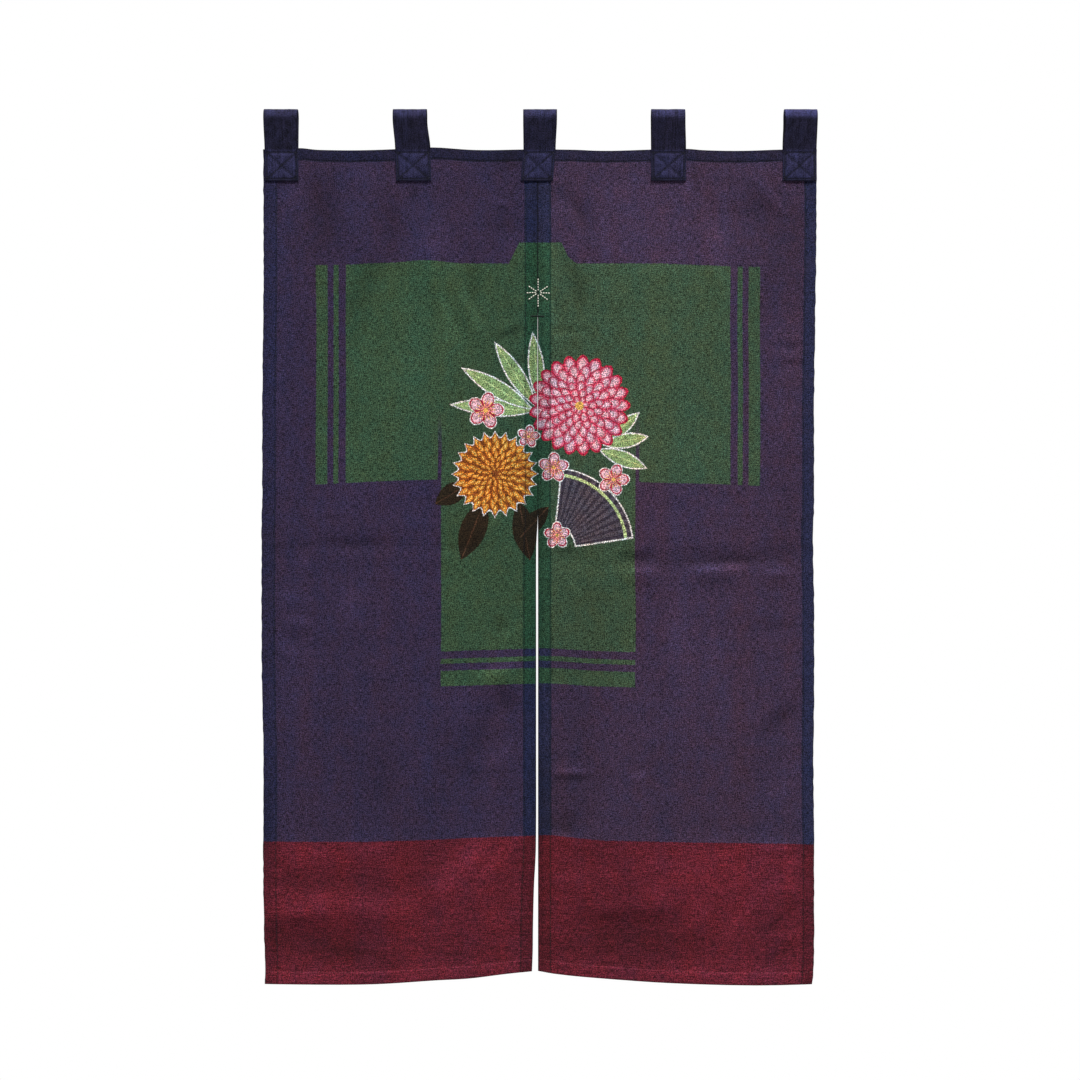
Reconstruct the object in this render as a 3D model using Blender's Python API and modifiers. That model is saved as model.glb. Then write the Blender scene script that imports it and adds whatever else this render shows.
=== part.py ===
"""Noren curtain: two hemmed cloth panels side by side under five sewn rod loops.

X runs along the rod, to the right as seen from the front, Y away from the viewer, and Z up.
The origin is on the axis of the rod that the loops slide over, straight above the seam that
joins the two panels. A place on the cloth is given as x from that seam and as its distance
down from the heading's top edge.
"""
import math
from collections import namedtuple

import bpy
from mathutils import Vector

MM = 0.001

# Driving dimensions, in metres
PANEL_WIDTH = 0.4225
PANEL_LENGTH = 1.2826
ROD_TO_HEADING = 0.0495
CLOTH_THICKNESS = 0.001
HEM_THICKNESS = 0.002
HEADING_HEM = 0.016
BOTTOM_HEM = 0.020
SEAM_HEM = 0.020
OUTER_HEM = 0.0185
HEM_STEP = 0.0015
GAP = 0.0003

# Pitch of the cloth's own rows and columns between its hems
COLUMN_PITCH = 0.0215
ROW_PITCH = 0.0225
CREASE_CLEARANCE = 0.017

# Loops: a folded strap that closes round a rod of up to 24 mm and is sewn to both faces
STRAP_THICKNESS = 0.0016
ROD_RADIUS = 0.012
SEWN_LENGTH = 0.0472
ARC_STEPS = 12
NECK_STEPS = 2
SEWN_STEPS = 2
STRAP_COLUMNS = 2

# Where the cloth leaves the flat heading and has its full folds, as distances down
FOLDS_START = 0.050
FOLDS_FULL = 0.105

# The seam ends in a bartack, and the slit below it runs to the hem
SLIT_START = 0.256
SLIT_OPEN = 0.620
CURL_REACH = 0.045
EDGE_ROLL = 0.0035
EDGE_ROLL_REACH = 0.022
HEM_KICK = 0.003
HEM_KICK_REACH = 0.045

Panel = namedtuple("Panel", "name side curl crease edges bottom colour")
Edge = namedtuple("Edge", "down outer slit")
Bottom = namedtuple("Bottom", "x length")
Loop = namedtuple("Loop", "name top sewn_top sewn_end top_width sewn_width")
Fold = namedtuple("Fold", "x down reach width lean height")

# Outer edge and slit edge of each panel at some distances down, in millimetres from the seam
LEFT_EDGES = (
    Edge(0, -421.8, -0.2),
    Edge(153, -421.8, -0.2),
    Edge(268, -422.2, -0.3),
    Edge(384, -423.8, -0.6),
    Edge(537, -423.9, -0.3),
    Edge(584, -424.8, -0.4),
    Edge(622, -424.8, -2.2),
    Edge(768, -424.8, -2.4),
    Edge(845, -423.8, -2.4),
    Edge(922, -422.2, -2.4),
    Edge(1091, -422.2, -2.8),
    Edge(1152, -421.8, -5.7),
    Edge(1214, -420.7, -7.2),
    Edge(1252, -419.3, -7.6),
    Edge(1283, -419.1, -8.8),
)
RIGHT_EDGES = (
    Edge(0, 428.5, 0.2),
    Edge(153, 428.5, 0.2),
    Edge(268, 426.7, 0.3),
    Edge(384, 425.2, 0.4),
    Edge(537, 425.1, 0.3),
    Edge(600, 423.6, 0.4),
    Edge(700, 425.1, 0.5),
    Edge(845, 425.1, 0.5),
    Edge(940, 423.9, 0.5),
    Edge(1060, 425.1, 0.5),
    Edge(1230, 425.0, 0.5),
    Edge(1270, 423.6, 0.5),
    Edge(1283, 421.6, 0.5),
)

# Length of the cloth at some places across it, in millimetres: both slit corners hang high
LEFT_BOTTOM = (
    Bottom(-425, 1281.4),
    Bottom(-258, 1281.4),
    Bottom(-156, 1275.3),
    Bottom(-104, 1272.2),
    Bottom(-43, 1264.5),
    Bottom(0, 1259.4),
)
RIGHT_BOTTOM = (
    Bottom(0, 1261.4),
    Bottom(28, 1266.0),
    Bottom(97, 1272.2),
    Bottom(199, 1279.1),
    Bottom(323, 1283.0),
    Bottom(429, 1281.6),
)

# Centre and width of each loop over the rod and where it is sewn on, in millimetres
LOOPS = (
    Loop("loop_1", -394.5, -393.8, -393.3, 52.3, 51.7),
    Loop("loop_2", -196.3, -192.0, -190.4, 52.3, 54.2),
    Loop("loop_3", 3.6, 2.8, -1.5, 52.0, 49.6),
    Loop("loop_4", 200.3, 201.0, 201.0, 52.3, 53.8),
    Loop("loop_5", 403.9, 402.4, 402.1, 50.7, 52.0),
)
HEADING_SAG = (1.5, 1.5, 2.3, 2.3)

# Main folds. Each is a soft ridge, or a trough where its height is below zero, with its centre,
# its reach to each end and its width to each side in millimetres. The lean is in degrees from
# upright, and a ridge that leans by more than zero has its lower end further right.
FOLDS = (
    # Folded flat for storage, each panel keeps a level crease with a ridge under it
    Fold(-235, 607, 165, 15, 90, -2.8),
    Fold(-235, 632, 160, 16, 90, 1.6),
    Fold(215, 627, 185, 15, 91, -3.2),
    Fold(225, 652, 175, 16, 91, 2.0),
    # Broad bellies of the hanging cloth
    Fold(-215, 860, 330, 130, 0, 7.5),
    Fold(210, 900, 340, 120, 0, 6.5),
    Fold(-220, 426, 90, 70, 0, 2.6),
    # Pull from the sewn ends of the loops
    Fold(-319, 96, 50, 24, 0, -2.4),
    Fold(-43, 104, 44, 22, 0, -2.2),
    Fold(-223, 211, 85, 19, -37, 2.6),
    Fold(-135, 211, 78, 18, 30, 2.6),
    Fold(-178, 275, 60, 28, 0, -1.4),
    Fold(62, 122, 44, 18, 42, 1.8),
    Fold(357, 112, 55, 34, 20, -3.4),
    Fold(280, 172, 62, 18, 0, 2.6),
    # Slanting folds in the lower half
    Fold(-66, 798, 34, 24, -20, 1.8),
    Fold(-89, 906, 95, 19, -31, -3.2),
    Fold(-62, 966, 60, 17, -30, 2.6),
    Fold(-143, 1118, 50, 20, -34, 2.6),
    Fold(357, 899, 48, 18, -50, -2.0),
    Fold(40, 1029, 60, 20, 10, -2.2),
    # Rolled marks across the woven band
    Fold(-315, 1075, 85, 18, 92, 1.8),
    Fold(-315, 1118, 85, 18, 90, -2.0),
    Fold(-315, 1160, 85, 18, 88, 2.0),
    Fold(-315, 1206, 85, 20, 90, -2.2),
    Fold(123, 1198, 85, 26, 85, -3.2),
    Fold(292, 1118, 95, 60, 95, 3.0),
    Fold(352, 1200, 60, 18, -38, 2.0),
)

PANELS = (
    Panel("panel_left", -1, 0.006, 0.607, LEFT_EDGES, LEFT_BOTTOM, (53, 43, 65)),
    Panel("panel_right", 1, -0.004, 0.627, RIGHT_EDGES, RIGHT_BOTTOM, (61, 50, 70)),
)
LOOP_COLOUR = (43, 42, 66)
CLOTH_ROUGHNESS = 0.92


def clear_scene():
    """Start from an empty scene."""
    for item in list(bpy.data.objects):
        bpy.data.objects.remove(item, do_unlink=True)


def linear(channel):
    """Linear light of an 8-bit screen value."""
    value = channel / 255
    if value <= 0.04045:
        return value / 12.92
    return ((value + 0.055) / 1.055) ** 2.4


def cloth_material(name, screen_colour):
    """Matt dyed cotton of one colour."""
    material = bpy.data.materials.new(name)
    material.use_nodes = True
    surface = material.node_tree.nodes["Principled BSDF"]
    surface.inputs["Base Color"].default_value = (*map(linear, screen_colour), 1)
    surface.inputs["Roughness"].default_value = CLOTH_ROUGHNESS
    surface.inputs["Metallic"].default_value = 0
    return material


def ease(value):
    """Smooth step from 0 to 1."""
    value = min(max(value, 0), 1)
    return value * value * (3 - 2 * value)


def slope_at(table, index, column):
    """Slope of one column of a table at a row, taken over its neighbours."""
    before = table[max(index - 1, 0)]
    after = table[min(index + 1, len(table) - 1)]
    return (after[column] - before[column]) / (after[0] - before[0])


def curve_value(table, place, column):
    """Value, in metres, on the smooth curve through one column of a millimetre table."""
    place = min(max(place / MM, table[0][0]), table[-1][0])
    index = max(row for row in range(len(table) - 1) if table[row][0] <= place)
    start = table[index]
    end = table[index + 1]
    span = end[0] - start[0]
    share = (place - start[0]) / span
    leave = slope_at(table, index, column) * span * share * (1 - share) ** 2
    arrive = slope_at(table, index + 1, column) * span * share * share * (share - 1)
    return (start[column] + (end[column] - start[column]) * ease(share) + leave + arrive) * MM


def fold_height(fold, x, down):
    """How far one fold lifts the cloth towards the viewer at a place on it."""
    lean = math.radians(fold.lean)
    away_x = x / MM - fold.x
    away_down = down / MM - fold.down
    along = away_x * math.sin(lean) + away_down * math.cos(lean)
    across = away_x * math.cos(lean) - away_down * math.sin(lean)
    return fold.height * math.exp(-(along / fold.reach) ** 4 - (across / fold.width) ** 2) * MM


def lift(panel, x, down, length):
    """Height of a panel's front above its flat heading, towards the viewer."""
    outer = curve_value(panel.edges, down, 1)
    folds = sum(fold_height(fold, x, down) for fold in FOLDS)
    curl = panel.curl * ease((down - SLIT_START) / (SLIT_OPEN - SLIT_START))
    curl *= math.exp(-(x / CURL_REACH) ** 2)
    roll = EDGE_ROLL * math.exp(-abs(outer - x) / EDGE_ROLL_REACH)
    kick = HEM_KICK * ease((down - length + HEM_KICK_REACH) / HEM_KICK_REACH)
    return (folds + curl - roll + kick) * ease((down - FOLDS_START) / (FOLDS_FULL - FOLDS_START))


def heading_sag(x):
    """Sag of the heading's top edge between two loops."""
    for left, right, depth in zip(LOOPS, LOOPS[1:], HEADING_SAG):
        if left.sewn_top * MM <= x <= right.sewn_top * MM:
            share = (x / MM - left.sewn_top) / (right.sewn_top - left.sewn_top)
            return depth * MM * math.sin(math.pi * share) ** 2
    return 0


def grid_sheet(name, columns, rows, place):
    """An open sheet of columns and rows, the first row on top, put where place says."""
    across = len(columns) - 1
    along = len(rows) - 1
    bpy.ops.mesh.primitive_grid_add(x_subdivisions=across, y_subdivisions=along, size=1)
    sheet = bpy.context.object
    sheet.name = name
    sheet.data.name = name
    for vertex in sheet.data.vertices:
        column = columns[round((vertex.co.x + 0.5) * across)]
        row = rows[round((0.5 - vertex.co.y) * along)]
        vertex.co = place(column, row)
    sheet.data.shade_smooth()
    return sheet


def spread(start, end, pitch):
    """Evenly spaced values from start to end, about a pitch apart."""
    steps = math.ceil((end - start) / pitch)
    return [start + (end - start) * step / steps for step in range(steps + 1)]


def panel_columns(side):
    """Distances of a panel's columns from its slit edge, signed and from left to right."""
    seam_side = [0, SEAM_HEM]
    body = spread(SEAM_HEM + HEM_STEP, PANEL_WIDTH - OUTER_HEM - HEM_STEP, COLUMN_PITCH)
    outer_side = [PANEL_WIDTH - OUTER_HEM, PANEL_WIDTH]
    return sorted(side * column for column in seam_side + body + outer_side)


def panel_rows(crease):
    """Distances of a panel's rows from the heading's top edge, closer at its level crease."""
    body = spread(HEADING_HEM + HEM_STEP, PANEL_LENGTH - BOTTOM_HEM - HEM_STEP, ROW_PITCH)
    body = [row for row in body if abs(row - crease) > CREASE_CLEARANCE]
    body += [crease - ROW_PITCH / 2, crease, crease + ROW_PITCH / 2]
    return [0, HEADING_HEM, *sorted(body), PANEL_LENGTH - BOTTOM_HEM, PANEL_LENGTH]


def is_hem(column, row):
    """Whether a point of a panel's grid is on one of its folded hems."""
    in_width = SEAM_HEM < abs(column) < PANEL_WIDTH - OUTER_HEM
    in_length = HEADING_HEM < row < PANEL_LENGTH - BOTTOM_HEM
    return not (in_width and in_length)


def panel_point(panel, column, row):
    """Place of a panel's grid point on its front face, from the heading's top edge."""
    slit = curve_value(panel.edges, row, 2)
    outer = curve_value(panel.edges, row, 1)
    x = slit + (outer - slit) * abs(column) / PANEL_WIDTH
    length = curve_value(panel.bottom, x, 1)
    sag = heading_sag(x)
    down = sag + (length - sag) * row / PANEL_LENGTH
    return Vector((x, -HEM_THICKNESS / 2 - lift(panel, x, down, length), -down))


def make_panel(panel):
    """One panel: a sheet hemmed on all four sides, its hems turned to the back."""
    columns = panel_columns(panel.side)
    rows = panel_rows(panel.crease)
    sheet = grid_sheet(panel.name, columns, rows, lambda c, r: panel_point(panel, c, r))
    sheet.location = (0, 0, -ROD_TO_HEADING)
    hems = sheet.vertex_groups.new(name="hems")
    body_share = CLOTH_THICKNESS / HEM_THICKNESS
    grid_points = [(column, row) for row in reversed(rows) for column in columns]
    for index, (column, row) in enumerate(grid_points):
        hems.add([index], 1 if is_hem(column, row) else body_share, "REPLACE")
    wall = sheet.modifiers.new("cloth thickness", "SOLIDIFY")
    wall.thickness = HEM_THICKNESS
    wall.offset = -1
    wall.vertex_group = hems.name
    sheet.data.materials.append(cloth_material(panel.name + "_cotton", panel.colour))
    return sheet


def strap_profile():
    """Inner face of a loop, seen from its side: from the back's sewn end to the front's."""
    foot_y = HEM_THICKNESS / 2 + GAP
    foot_distance = math.hypot(foot_y, ROD_TO_HEADING)
    lean = math.asin(ROD_RADIUS / foot_distance) - math.atan2(foot_y, ROD_TO_HEADING)
    foot = Vector((foot_y, -ROD_TO_HEADING))
    touch = Vector((math.cos(lean), -math.sin(lean))) * ROD_RADIUS
    back = []
    for step in range(SEWN_STEPS):
        share = step / SEWN_STEPS
        back.append(Vector((foot_y, -ROD_TO_HEADING - SEWN_LENGTH * (1 - share))))
    for step in range(NECK_STEPS):
        back.append(foot.lerp(touch, step / NECK_STEPS))
    arc = []
    for step in range(ARC_STEPS + 1):
        angle = -lean + (math.pi + 2 * lean) * step / ARC_STEPS
        arc.append(Vector((math.cos(angle), math.sin(angle))) * ROD_RADIUS)
    front = [Vector((-point.x, point.y)) for point in reversed(back)]
    return back + arc + front


def strap_line(loop, height):
    """Centre and width of a loop at a height above the rod's axis."""
    if height >= -ROD_TO_HEADING:
        share = ease(-height / ROD_TO_HEADING)
        centre = loop.top + (loop.sewn_top - loop.top) * share
        width = loop.top_width + (loop.sewn_width - loop.top_width) * share
        return centre * MM, width * MM
    share = (-height - ROD_TO_HEADING) / SEWN_LENGTH
    return (loop.sewn_top + (loop.sewn_end - loop.sewn_top) * share) * MM, loop.sewn_width * MM


def strap_point(loop, column, profile_point):
    """Place of a loop's grid point, from the loop's own place on the rod."""
    centre, width = strap_line(loop, profile_point.y)
    return Vector((centre - loop.top * MM + column * width, profile_point.x, profile_point.y))


def make_loop(loop):
    """One loop: a flat strap over the rod, its ends on the cloth's front and back."""
    columns = spread(-0.5, 0.5, 1 / STRAP_COLUMNS)
    strap = grid_sheet(loop.name, columns, strap_profile(), lambda c, p: strap_point(loop, c, p))
    strap.location = (loop.top * MM, 0, 0)
    wall = strap.modifiers.new("strap thickness", "SOLIDIFY")
    wall.thickness = STRAP_THICKNESS
    wall.offset = 1
    strap.data.materials.append(cloth_material(loop.name + "_cotton", LOOP_COLOUR))
    return strap


def main():
    clear_scene()
    curtain = bpy.data.collections.new("noren_curtain")
    bpy.context.scene.collection.children.link(curtain)
    rod_axis = bpy.data.objects.new("rod_axis", None)
    curtain.objects.link(rod_axis)
    pieces = [make_panel(panel) for panel in PANELS] + [make_loop(loop) for loop in LOOPS]
    for piece in pieces:
        for collection in piece.users_collection:
            collection.objects.unlink(piece)
        curtain.objects.link(piece)
        piece.parent = rod_axis


main()
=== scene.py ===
"""Noren curtain, dressed: two woven panels, five folded straps and the thread that joins them.

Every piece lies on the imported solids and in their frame: X runs along the rod, to the right as
seen from the front, Y away from the viewer, and Z up, with the origin on the rod's axis above
the seam. Shapes are worked out in millimetres. A place on the cloth is its x from the seam and
its distance down from the heading's top edge. A place on a panel's own grid is its column, the
distance from the slit edge, and its row, the distance from the top.
"""
import math
from collections import namedtuple

import bpy
import numpy as np
from bpy.props import FloatProperty, FloatVectorProperty, PointerProperty
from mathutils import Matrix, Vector


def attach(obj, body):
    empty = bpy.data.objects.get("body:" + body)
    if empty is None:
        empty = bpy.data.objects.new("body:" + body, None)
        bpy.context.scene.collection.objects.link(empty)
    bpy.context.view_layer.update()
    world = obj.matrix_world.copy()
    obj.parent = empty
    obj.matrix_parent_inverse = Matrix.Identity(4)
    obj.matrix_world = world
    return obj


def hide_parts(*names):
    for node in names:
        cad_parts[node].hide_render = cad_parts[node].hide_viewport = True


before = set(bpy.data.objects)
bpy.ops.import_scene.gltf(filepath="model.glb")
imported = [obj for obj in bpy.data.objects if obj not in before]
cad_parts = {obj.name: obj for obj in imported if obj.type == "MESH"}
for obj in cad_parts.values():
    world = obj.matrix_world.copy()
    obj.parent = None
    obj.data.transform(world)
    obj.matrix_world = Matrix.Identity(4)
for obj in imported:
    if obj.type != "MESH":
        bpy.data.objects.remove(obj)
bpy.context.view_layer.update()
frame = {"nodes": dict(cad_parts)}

bl_info = {
    "name": "Noren curtain",
    "version": (1, 0, 0),
    "blender": (4, 5, 0),
    "location": "View3D > Sidebar > Noren",
    "description": "Dresses a split doorway curtain in woven cloth, folded straps and stitches",
    "category": "Object",
}

MM = 0.001
BODY = "root"

# The solids' own sizes, in millimetres
PANEL_WIDTH = 422.5
PANEL_LENGTH = 1282.6
ROD_TO_HEADING = 49.5
CLOTH_THICKNESS = 1.0
HEM_THICKNESS = 2.0
BOTTOM_HEM = 20.0
SEAM_HEM = 20.0
GAP = 0.3
STRAP_THICKNESS = 1.6
ROD_RADIUS = 12.0
SEWN_LENGTH = 47.2
FOLDS_START = 50.0
FOLDS_FULL = 105.0
SLIT_START = 256.0
SLIT_OPEN = 620.0
CURL_REACH = 45.0
EDGE_ROLL = 3.5
EDGE_ROLL_REACH = 22.0
HEM_KICK = 3.0
HEM_KICK_REACH = 45.0

# Fine shape of the cloth, in millimetres. The heading's hem is 2 mm wider than the solid's.
HEADING_HEM = 18.0
CLOTH_PITCH = 4.0
STRAP_PITCH = 2.4
EDGE_STOPS = (0.0, 0.4, 1.0, 2.2)
EDGE_ROUND = 1.0
EDGE_RECESS = 0.45
HEM_END = 1.0
STITCH_INSET = 1.2
STITCH_SIDE = 0.5
HEM_BEND = 3.0
GROOVE_WIDTH = 0.9
GROOVE_DEPTH = 0.25
HEM_PUFF = 0.25
# Painted shade: widths and shares of the dark lines painted along stitched grooves, where a hem
# turns under and along each edge; then the hems' tints and the heading's darker dye
LINE_WIDTH = 1.0
BOX_LINE_WIDTH = 1.3
TURNING = 5.5
PAINTED_TURNING_SHADE = 0.45
SLIT_TINT = 1.4
BOTTOM_TINT = 1.1
HEADING_SHADE = 0.54
PAINTED_EDGE_SHADE_WIDTH = 1.5
PAINTED_EDGE_SHADES = (1.1, 0.5, 1.0, 0.9)
EDGE_WAVER = 0.55
EDGE_WAVER_PITCH = 9.0
EDGE_WAVER_SEED = 17
PUCKER_REACH = 9.0
PUCKER_PITCH = 11.0
PUCKER_STRETCH = 3.5
PUCKER_SEEDS = (11, 12)
CLEARING = 5.0
COVERED = 0.01
BOX_INSET = 3.0
BOX_TOP = 44.0
BOX_SIDE = 0.6
BOX_PUFF = 0.8
BOX_PUFF_REACH = 4.0
STREAK_HEIGHT = 0.2
STREAK_SHIFT = 40
SEWN_CALM = 0.3
SEWN_EASE = 2.0
SIDE_TAPER = 4.0
# Painted shade along a strap's sides
PAINTED_SIDE_SHADE = 0.7
# Painted light on a strap's top where it curves over the rod, and on its sewn box
PAINTED_LIGHT_BAND = 14.0
PAINTED_LIGHT_EASE = 4.0
SEWN_PAINTED_LIGHT = 0.4
STRAP_SEED = 30
STRAP_APART = 300
ARC_STOPS = 121
PATH_STOPS = 1200
PATH_BLUR = 15
NOISE_REPEAT = 512

# UV maps: the cloth's own places in metres, and the two faces side by side for baking
CLOTH_MAP = "cloth"
BAKE_MAP = "OFBake"
BAKE_MARGIN = 0.01
BAKE_WIDTH = 0.48
BAKE_RIM = 0.006

Panel = namedtuple("Panel", "name side curl outer_hem outer_turning outer_tint edges bottom")
Edge = namedtuple("Edge", "down outer slit")
Bottom = namedtuple("Bottom", "x length")
Held = namedtuple("Held", "down share")
Loop = namedtuple("Loop", "name top sewn_top sewn_end top_width sewn_width fade")
Fold = namedtuple("Fold", "x down reach width lean height")
Tone = namedtuple("Tone", "across along seed weight")
Leaf = namedtuple("Leaf", "x down turn length width")
Flower = namedtuple("Flower", "x down radius turn")
Ring = namedtuple("Ring", "share petals turn depth")
Ray = namedtuple("Ray", "turn end")


def rows_of(kind, *rows):
    """Rows of one kind from their plain values."""
    return [kind(*row) for row in rows]


# Outer edge and slit edge of each panel at some distances down
LEFT_EDGES = rows_of(
    Edge,
    (0, -421.8, -0.2), (153, -421.8, -0.2), (268, -422.2, -0.3), (384, -423.8, -0.6),
    (537, -423.9, -0.3), (584, -424.8, -0.4), (622, -424.8, -2.2), (768, -424.8, -2.4),
    (845, -423.8, -2.4), (922, -422.2, -2.4), (1091, -422.2, -2.8), (1152, -421.8, -5.7),
    (1214, -420.7, -7.2), (1252, -419.3, -7.6), (1283, -419.1, -8.8),
)
RIGHT_EDGES = rows_of(
    Edge,
    (0, 428.5, 0.2), (153, 428.5, 0.2), (268, 426.7, 0.3), (384, 425.2, 0.4), (537, 425.1, 0.3),
    (600, 423.6, 0.4), (700, 425.1, 0.5), (845, 425.1, 0.5), (940, 423.9, 0.5), (1060, 425.1, 0.5),
    (1230, 425.0, 0.5), (1270, 423.6, 0.5), (1283, 421.6, 0.5),
)

# Length of the cloth at some places across it: both slit corners hang high
LEFT_BOTTOM = rows_of(
    Bottom,
    (-425, 1281.4), (-258, 1281.4), (-156, 1275.3), (-104, 1272.2), (-43, 1264.5), (0, 1259.4),
)
RIGHT_BOTTOM = rows_of(
    Bottom,
    (0, 1261.4), (28, 1266.0), (97, 1272.2), (199, 1279.1), (323, 1283.0), (429, 1281.6),
)
PANELS = (
    Panel("panel_left", -1, 6.0, 21.0, 15.6, 0.9, LEFT_EDGES, LEFT_BOTTOM),
    Panel("panel_right", 1, -4.0, 18.0, 0.0, 1.25, RIGHT_EDGES, RIGHT_BOTTOM),
)

# How closely the slit's edges meet: sewn above the bartack, where the share is 1, and lapped a
# little further down, where it is more
SLIT_HELD = rows_of(
    Held,
    (0, 1), (256, 1), (266, 0.4), (430, 0.4), (470, 1.5), (560, 1.5), (592, 0), (1283, 0),
)

# Centre and width of each loop over the rod and where it is sewn on, and how much painted light its
# top takes where it curves over the rod
LOOPS = (
    Loop("loop_1", -394.5, -393.8, -393.3, 52.3, 51.7, 0.2),
    Loop("loop_2", -196.3, -192.0, -190.4, 52.3, 54.2, 0.24),
    Loop("loop_3", 3.6, 2.8, -1.5, 52.0, 49.6, 0.26),
    Loop("loop_4", 200.3, 201.0, 201.0, 52.3, 53.8, 0.34),
    Loop("loop_5", 403.9, 402.4, 402.1, 50.7, 52.0, 0.75),
)
HEADING_SAG = (1.5, 1.5, 2.3, 2.3)

# How far the cloth's own edge stands above the solid's, and where a strap pulls it higher, as x,
# reach and rise
HEADING_RISE = 1.4
HEADING_PULLS = ((-364, 16, 2.1), (-158, 46, 3.3), (60, 24, 0.7), (232, 14, 1.1))

# The solids' main folds. Each is a soft ridge, or a trough where its height is below zero, with
# its centre, its reach to each end and its width to each side. The lean is in degrees from
# upright, and a ridge that leans by more than zero has its lower end further right.
FOLDS = rows_of(
    Fold,
    (-235, 607, 165, 15, 90, -2.8), (-235, 632, 160, 16, 90, 1.6), (215, 627, 185, 15, 91, -3.2),
    (225, 652, 175, 16, 91, 2.0), (-215, 860, 330, 130, 0, 7.5), (210, 900, 340, 120, 0, 6.5),
    (-220, 426, 90, 70, 0, 2.6), (-319, 96, 50, 24, 0, -2.4), (-43, 104, 44, 22, 0, -2.2),
    (-223, 211, 85, 19, -37, 2.6), (-135, 211, 78, 18, 30, 2.6), (-178, 275, 60, 28, 0, -1.4),
    (62, 122, 44, 18, 42, 1.8), (357, 112, 55, 34, 20, -3.4), (280, 172, 62, 18, 0, 2.6),
    (-66, 798, 34, 24, -20, 1.8), (-89, 906, 95, 19, -31, -3.2), (-62, 966, 60, 17, -30, 2.6),
    (-143, 1118, 50, 20, -34, 2.6), (357, 899, 48, 18, -50, -2.0), (40, 1029, 60, 20, 10, -2.2),
    (-315, 1075, 85, 18, 92, 1.8), (-315, 1118, 85, 18, 90, -2.0), (-315, 1160, 85, 18, 88, 2.0),
    (-315, 1206, 85, 20, 90, -2.2), (123, 1198, 85, 26, 85, -3.2), (292, 1118, 95, 60, 95, 3.0),
    (352, 1200, 60, 18, -38, 2.0),
)

# Creases that are too fine for the solids
CREASES = rows_of(
    Fold,
    # The storage fold is broken into pieces, some flattened and some sharp
    (-235, 634, 165, 17, 90, -2.4), (-235, 664, 165, 26, 90, -1.2), (-186, 607, 42, 15, 90, 1.7),
    (-366, 607, 38, 15, 90, 1.4), (-285, 606, 38, 6, 91, -0.7), (-120, 611, 34, 6, 89, -0.7),
    (100, 627, 27, 14, 91, 2.0), (100, 652, 27, 14, 91, -1.3), (210, 627, 23, 14, 91, 2.0),
    (210, 652, 23, 14, 91, -1.3), (327, 627, 14, 14, 91, 1.4), (327, 652, 14, 14, 91, -1.2),
    (45, 617, 16, 5, 92, -0.8), (148, 627, 22, 6, 90, -1.1), (295, 633, 44, 6, 93, -1.5),
    (160, 647, 20, 5, 92, 1.1), (276, 646, 34, 5, 92, 1.7), (368, 650, 22, 5, 91, 1.2),
    (53, 668, 17, 6, 45, 1.1),
    # Ripples along the outer hems
    (-378, 690, 26, 9, 84, 1.2), (-368, 727, 22, 8, 80, 1.4), (-376, 751, 20, 9, 86, -1.4),
    (-380, 776, 22, 9, 78, 1.2), (388, 290, 20, 5, 88, 0.9), (388, 304, 20, 5, 92, -0.9),
    (388, 318, 20, 5, 86, 0.9), (388, 331, 20, 5, 90, -0.9),
    # Gathers under the heading
    (-297, 95, 60, 26, 0, 2.2), (-192, 62, 15, 6, 0, -1.0), (-228, 118, 36, 15, 0, -1.6),
    (-160, 130, 38, 26, 0, 1.8), (-52, 82, 20, 6, 66, 1.3), (243, 45, 20, 6, 0, -1.1),
    (230, 55, 16, 6, 0, 0.9), (48, 116, 52, 14, 30, 1.8), (76, 108, 46, 14, 30, -2.0),
    (358, 66, 38, 9, 36, 1.8), (386, 62, 26, 7, 36, 1.3), (276, 160, 40, 17, 12, 1.6),
    # Pulls at the seam and at the head of the slit
    (-42, 280, 24, 5, 114, -1.1), (-35, 330, 20, 6, 135, -1.1), (-152, 225, 44, 7, 15, 1.1),
    (-102, 255, 46, 7, 21, 1.1), (34, 220, 40, 7, 16, 1.1), (67, 215, 28, 9, 4, -1.1),
    (48, 268, 26, 5, 88, 0.8), (48, 280, 26, 5, 91, -0.8), (48, 291, 26, 5, 89, 0.8),
    # Short marks where the panels were folded and handled
    (-47, 745, 18, 7, -40, 1.3), (-60, 727, 16, 8, 20, -1.2), (-52, 840, 24, 12, 40, -1.6),
    (-55, 928, 30, 8, -40, 1.4), (372, 875, 38, 12, -48, -2.0), (50, 954, 28, 6, 92, 1.3),
    (50, 967, 28, 6, 92, -1.1), (152, 963, 16, 6, 96, 1.6), (40, 1028, 24, 10, 90, -2.0),
    (43, 1060, 22, 8, 62, 1.4), (48, 1122, 28, 12, 90, 1.6), (362, 1074, 26, 8, 86, 1.7),
    (390, 1098, 18, 8, -35, 1.4),
    # The fold low on the left panel, its two slanting pulls and the marks beside them
    (-362, 1174, 40, 8, 90, 1.8), (-300, 1165, 110, 22, 88, 1.8), (-310, 1218, 110, 26, 90, -2.2),
    (-118, 1105, 60, 15, -42, 2.2), (-62, 1088, 46, 8, -42, 1.5), (-88, 1108, 40, 8, -42, -1.5),
    (-55, 1188, 20, 9, -70, 1.5),
    # The hollow low on the right panel and the slanting folds beside it
    (150, 1166, 72, 9, 91, 1.5), (150, 1184, 78, 16, 91, -1.8), (250, 1166, 20, 7, 50, 1.3),
    (312, 1182, 40, 10, -35, 1.8), (372, 1138, 32, 9, 95, 1.5), (368, 1182, 38, 9, -50, -1.9),
    (376, 1210, 28, 8, 88, 1.5), (372, 1236, 26, 8, -55, -1.6),
)
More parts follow.
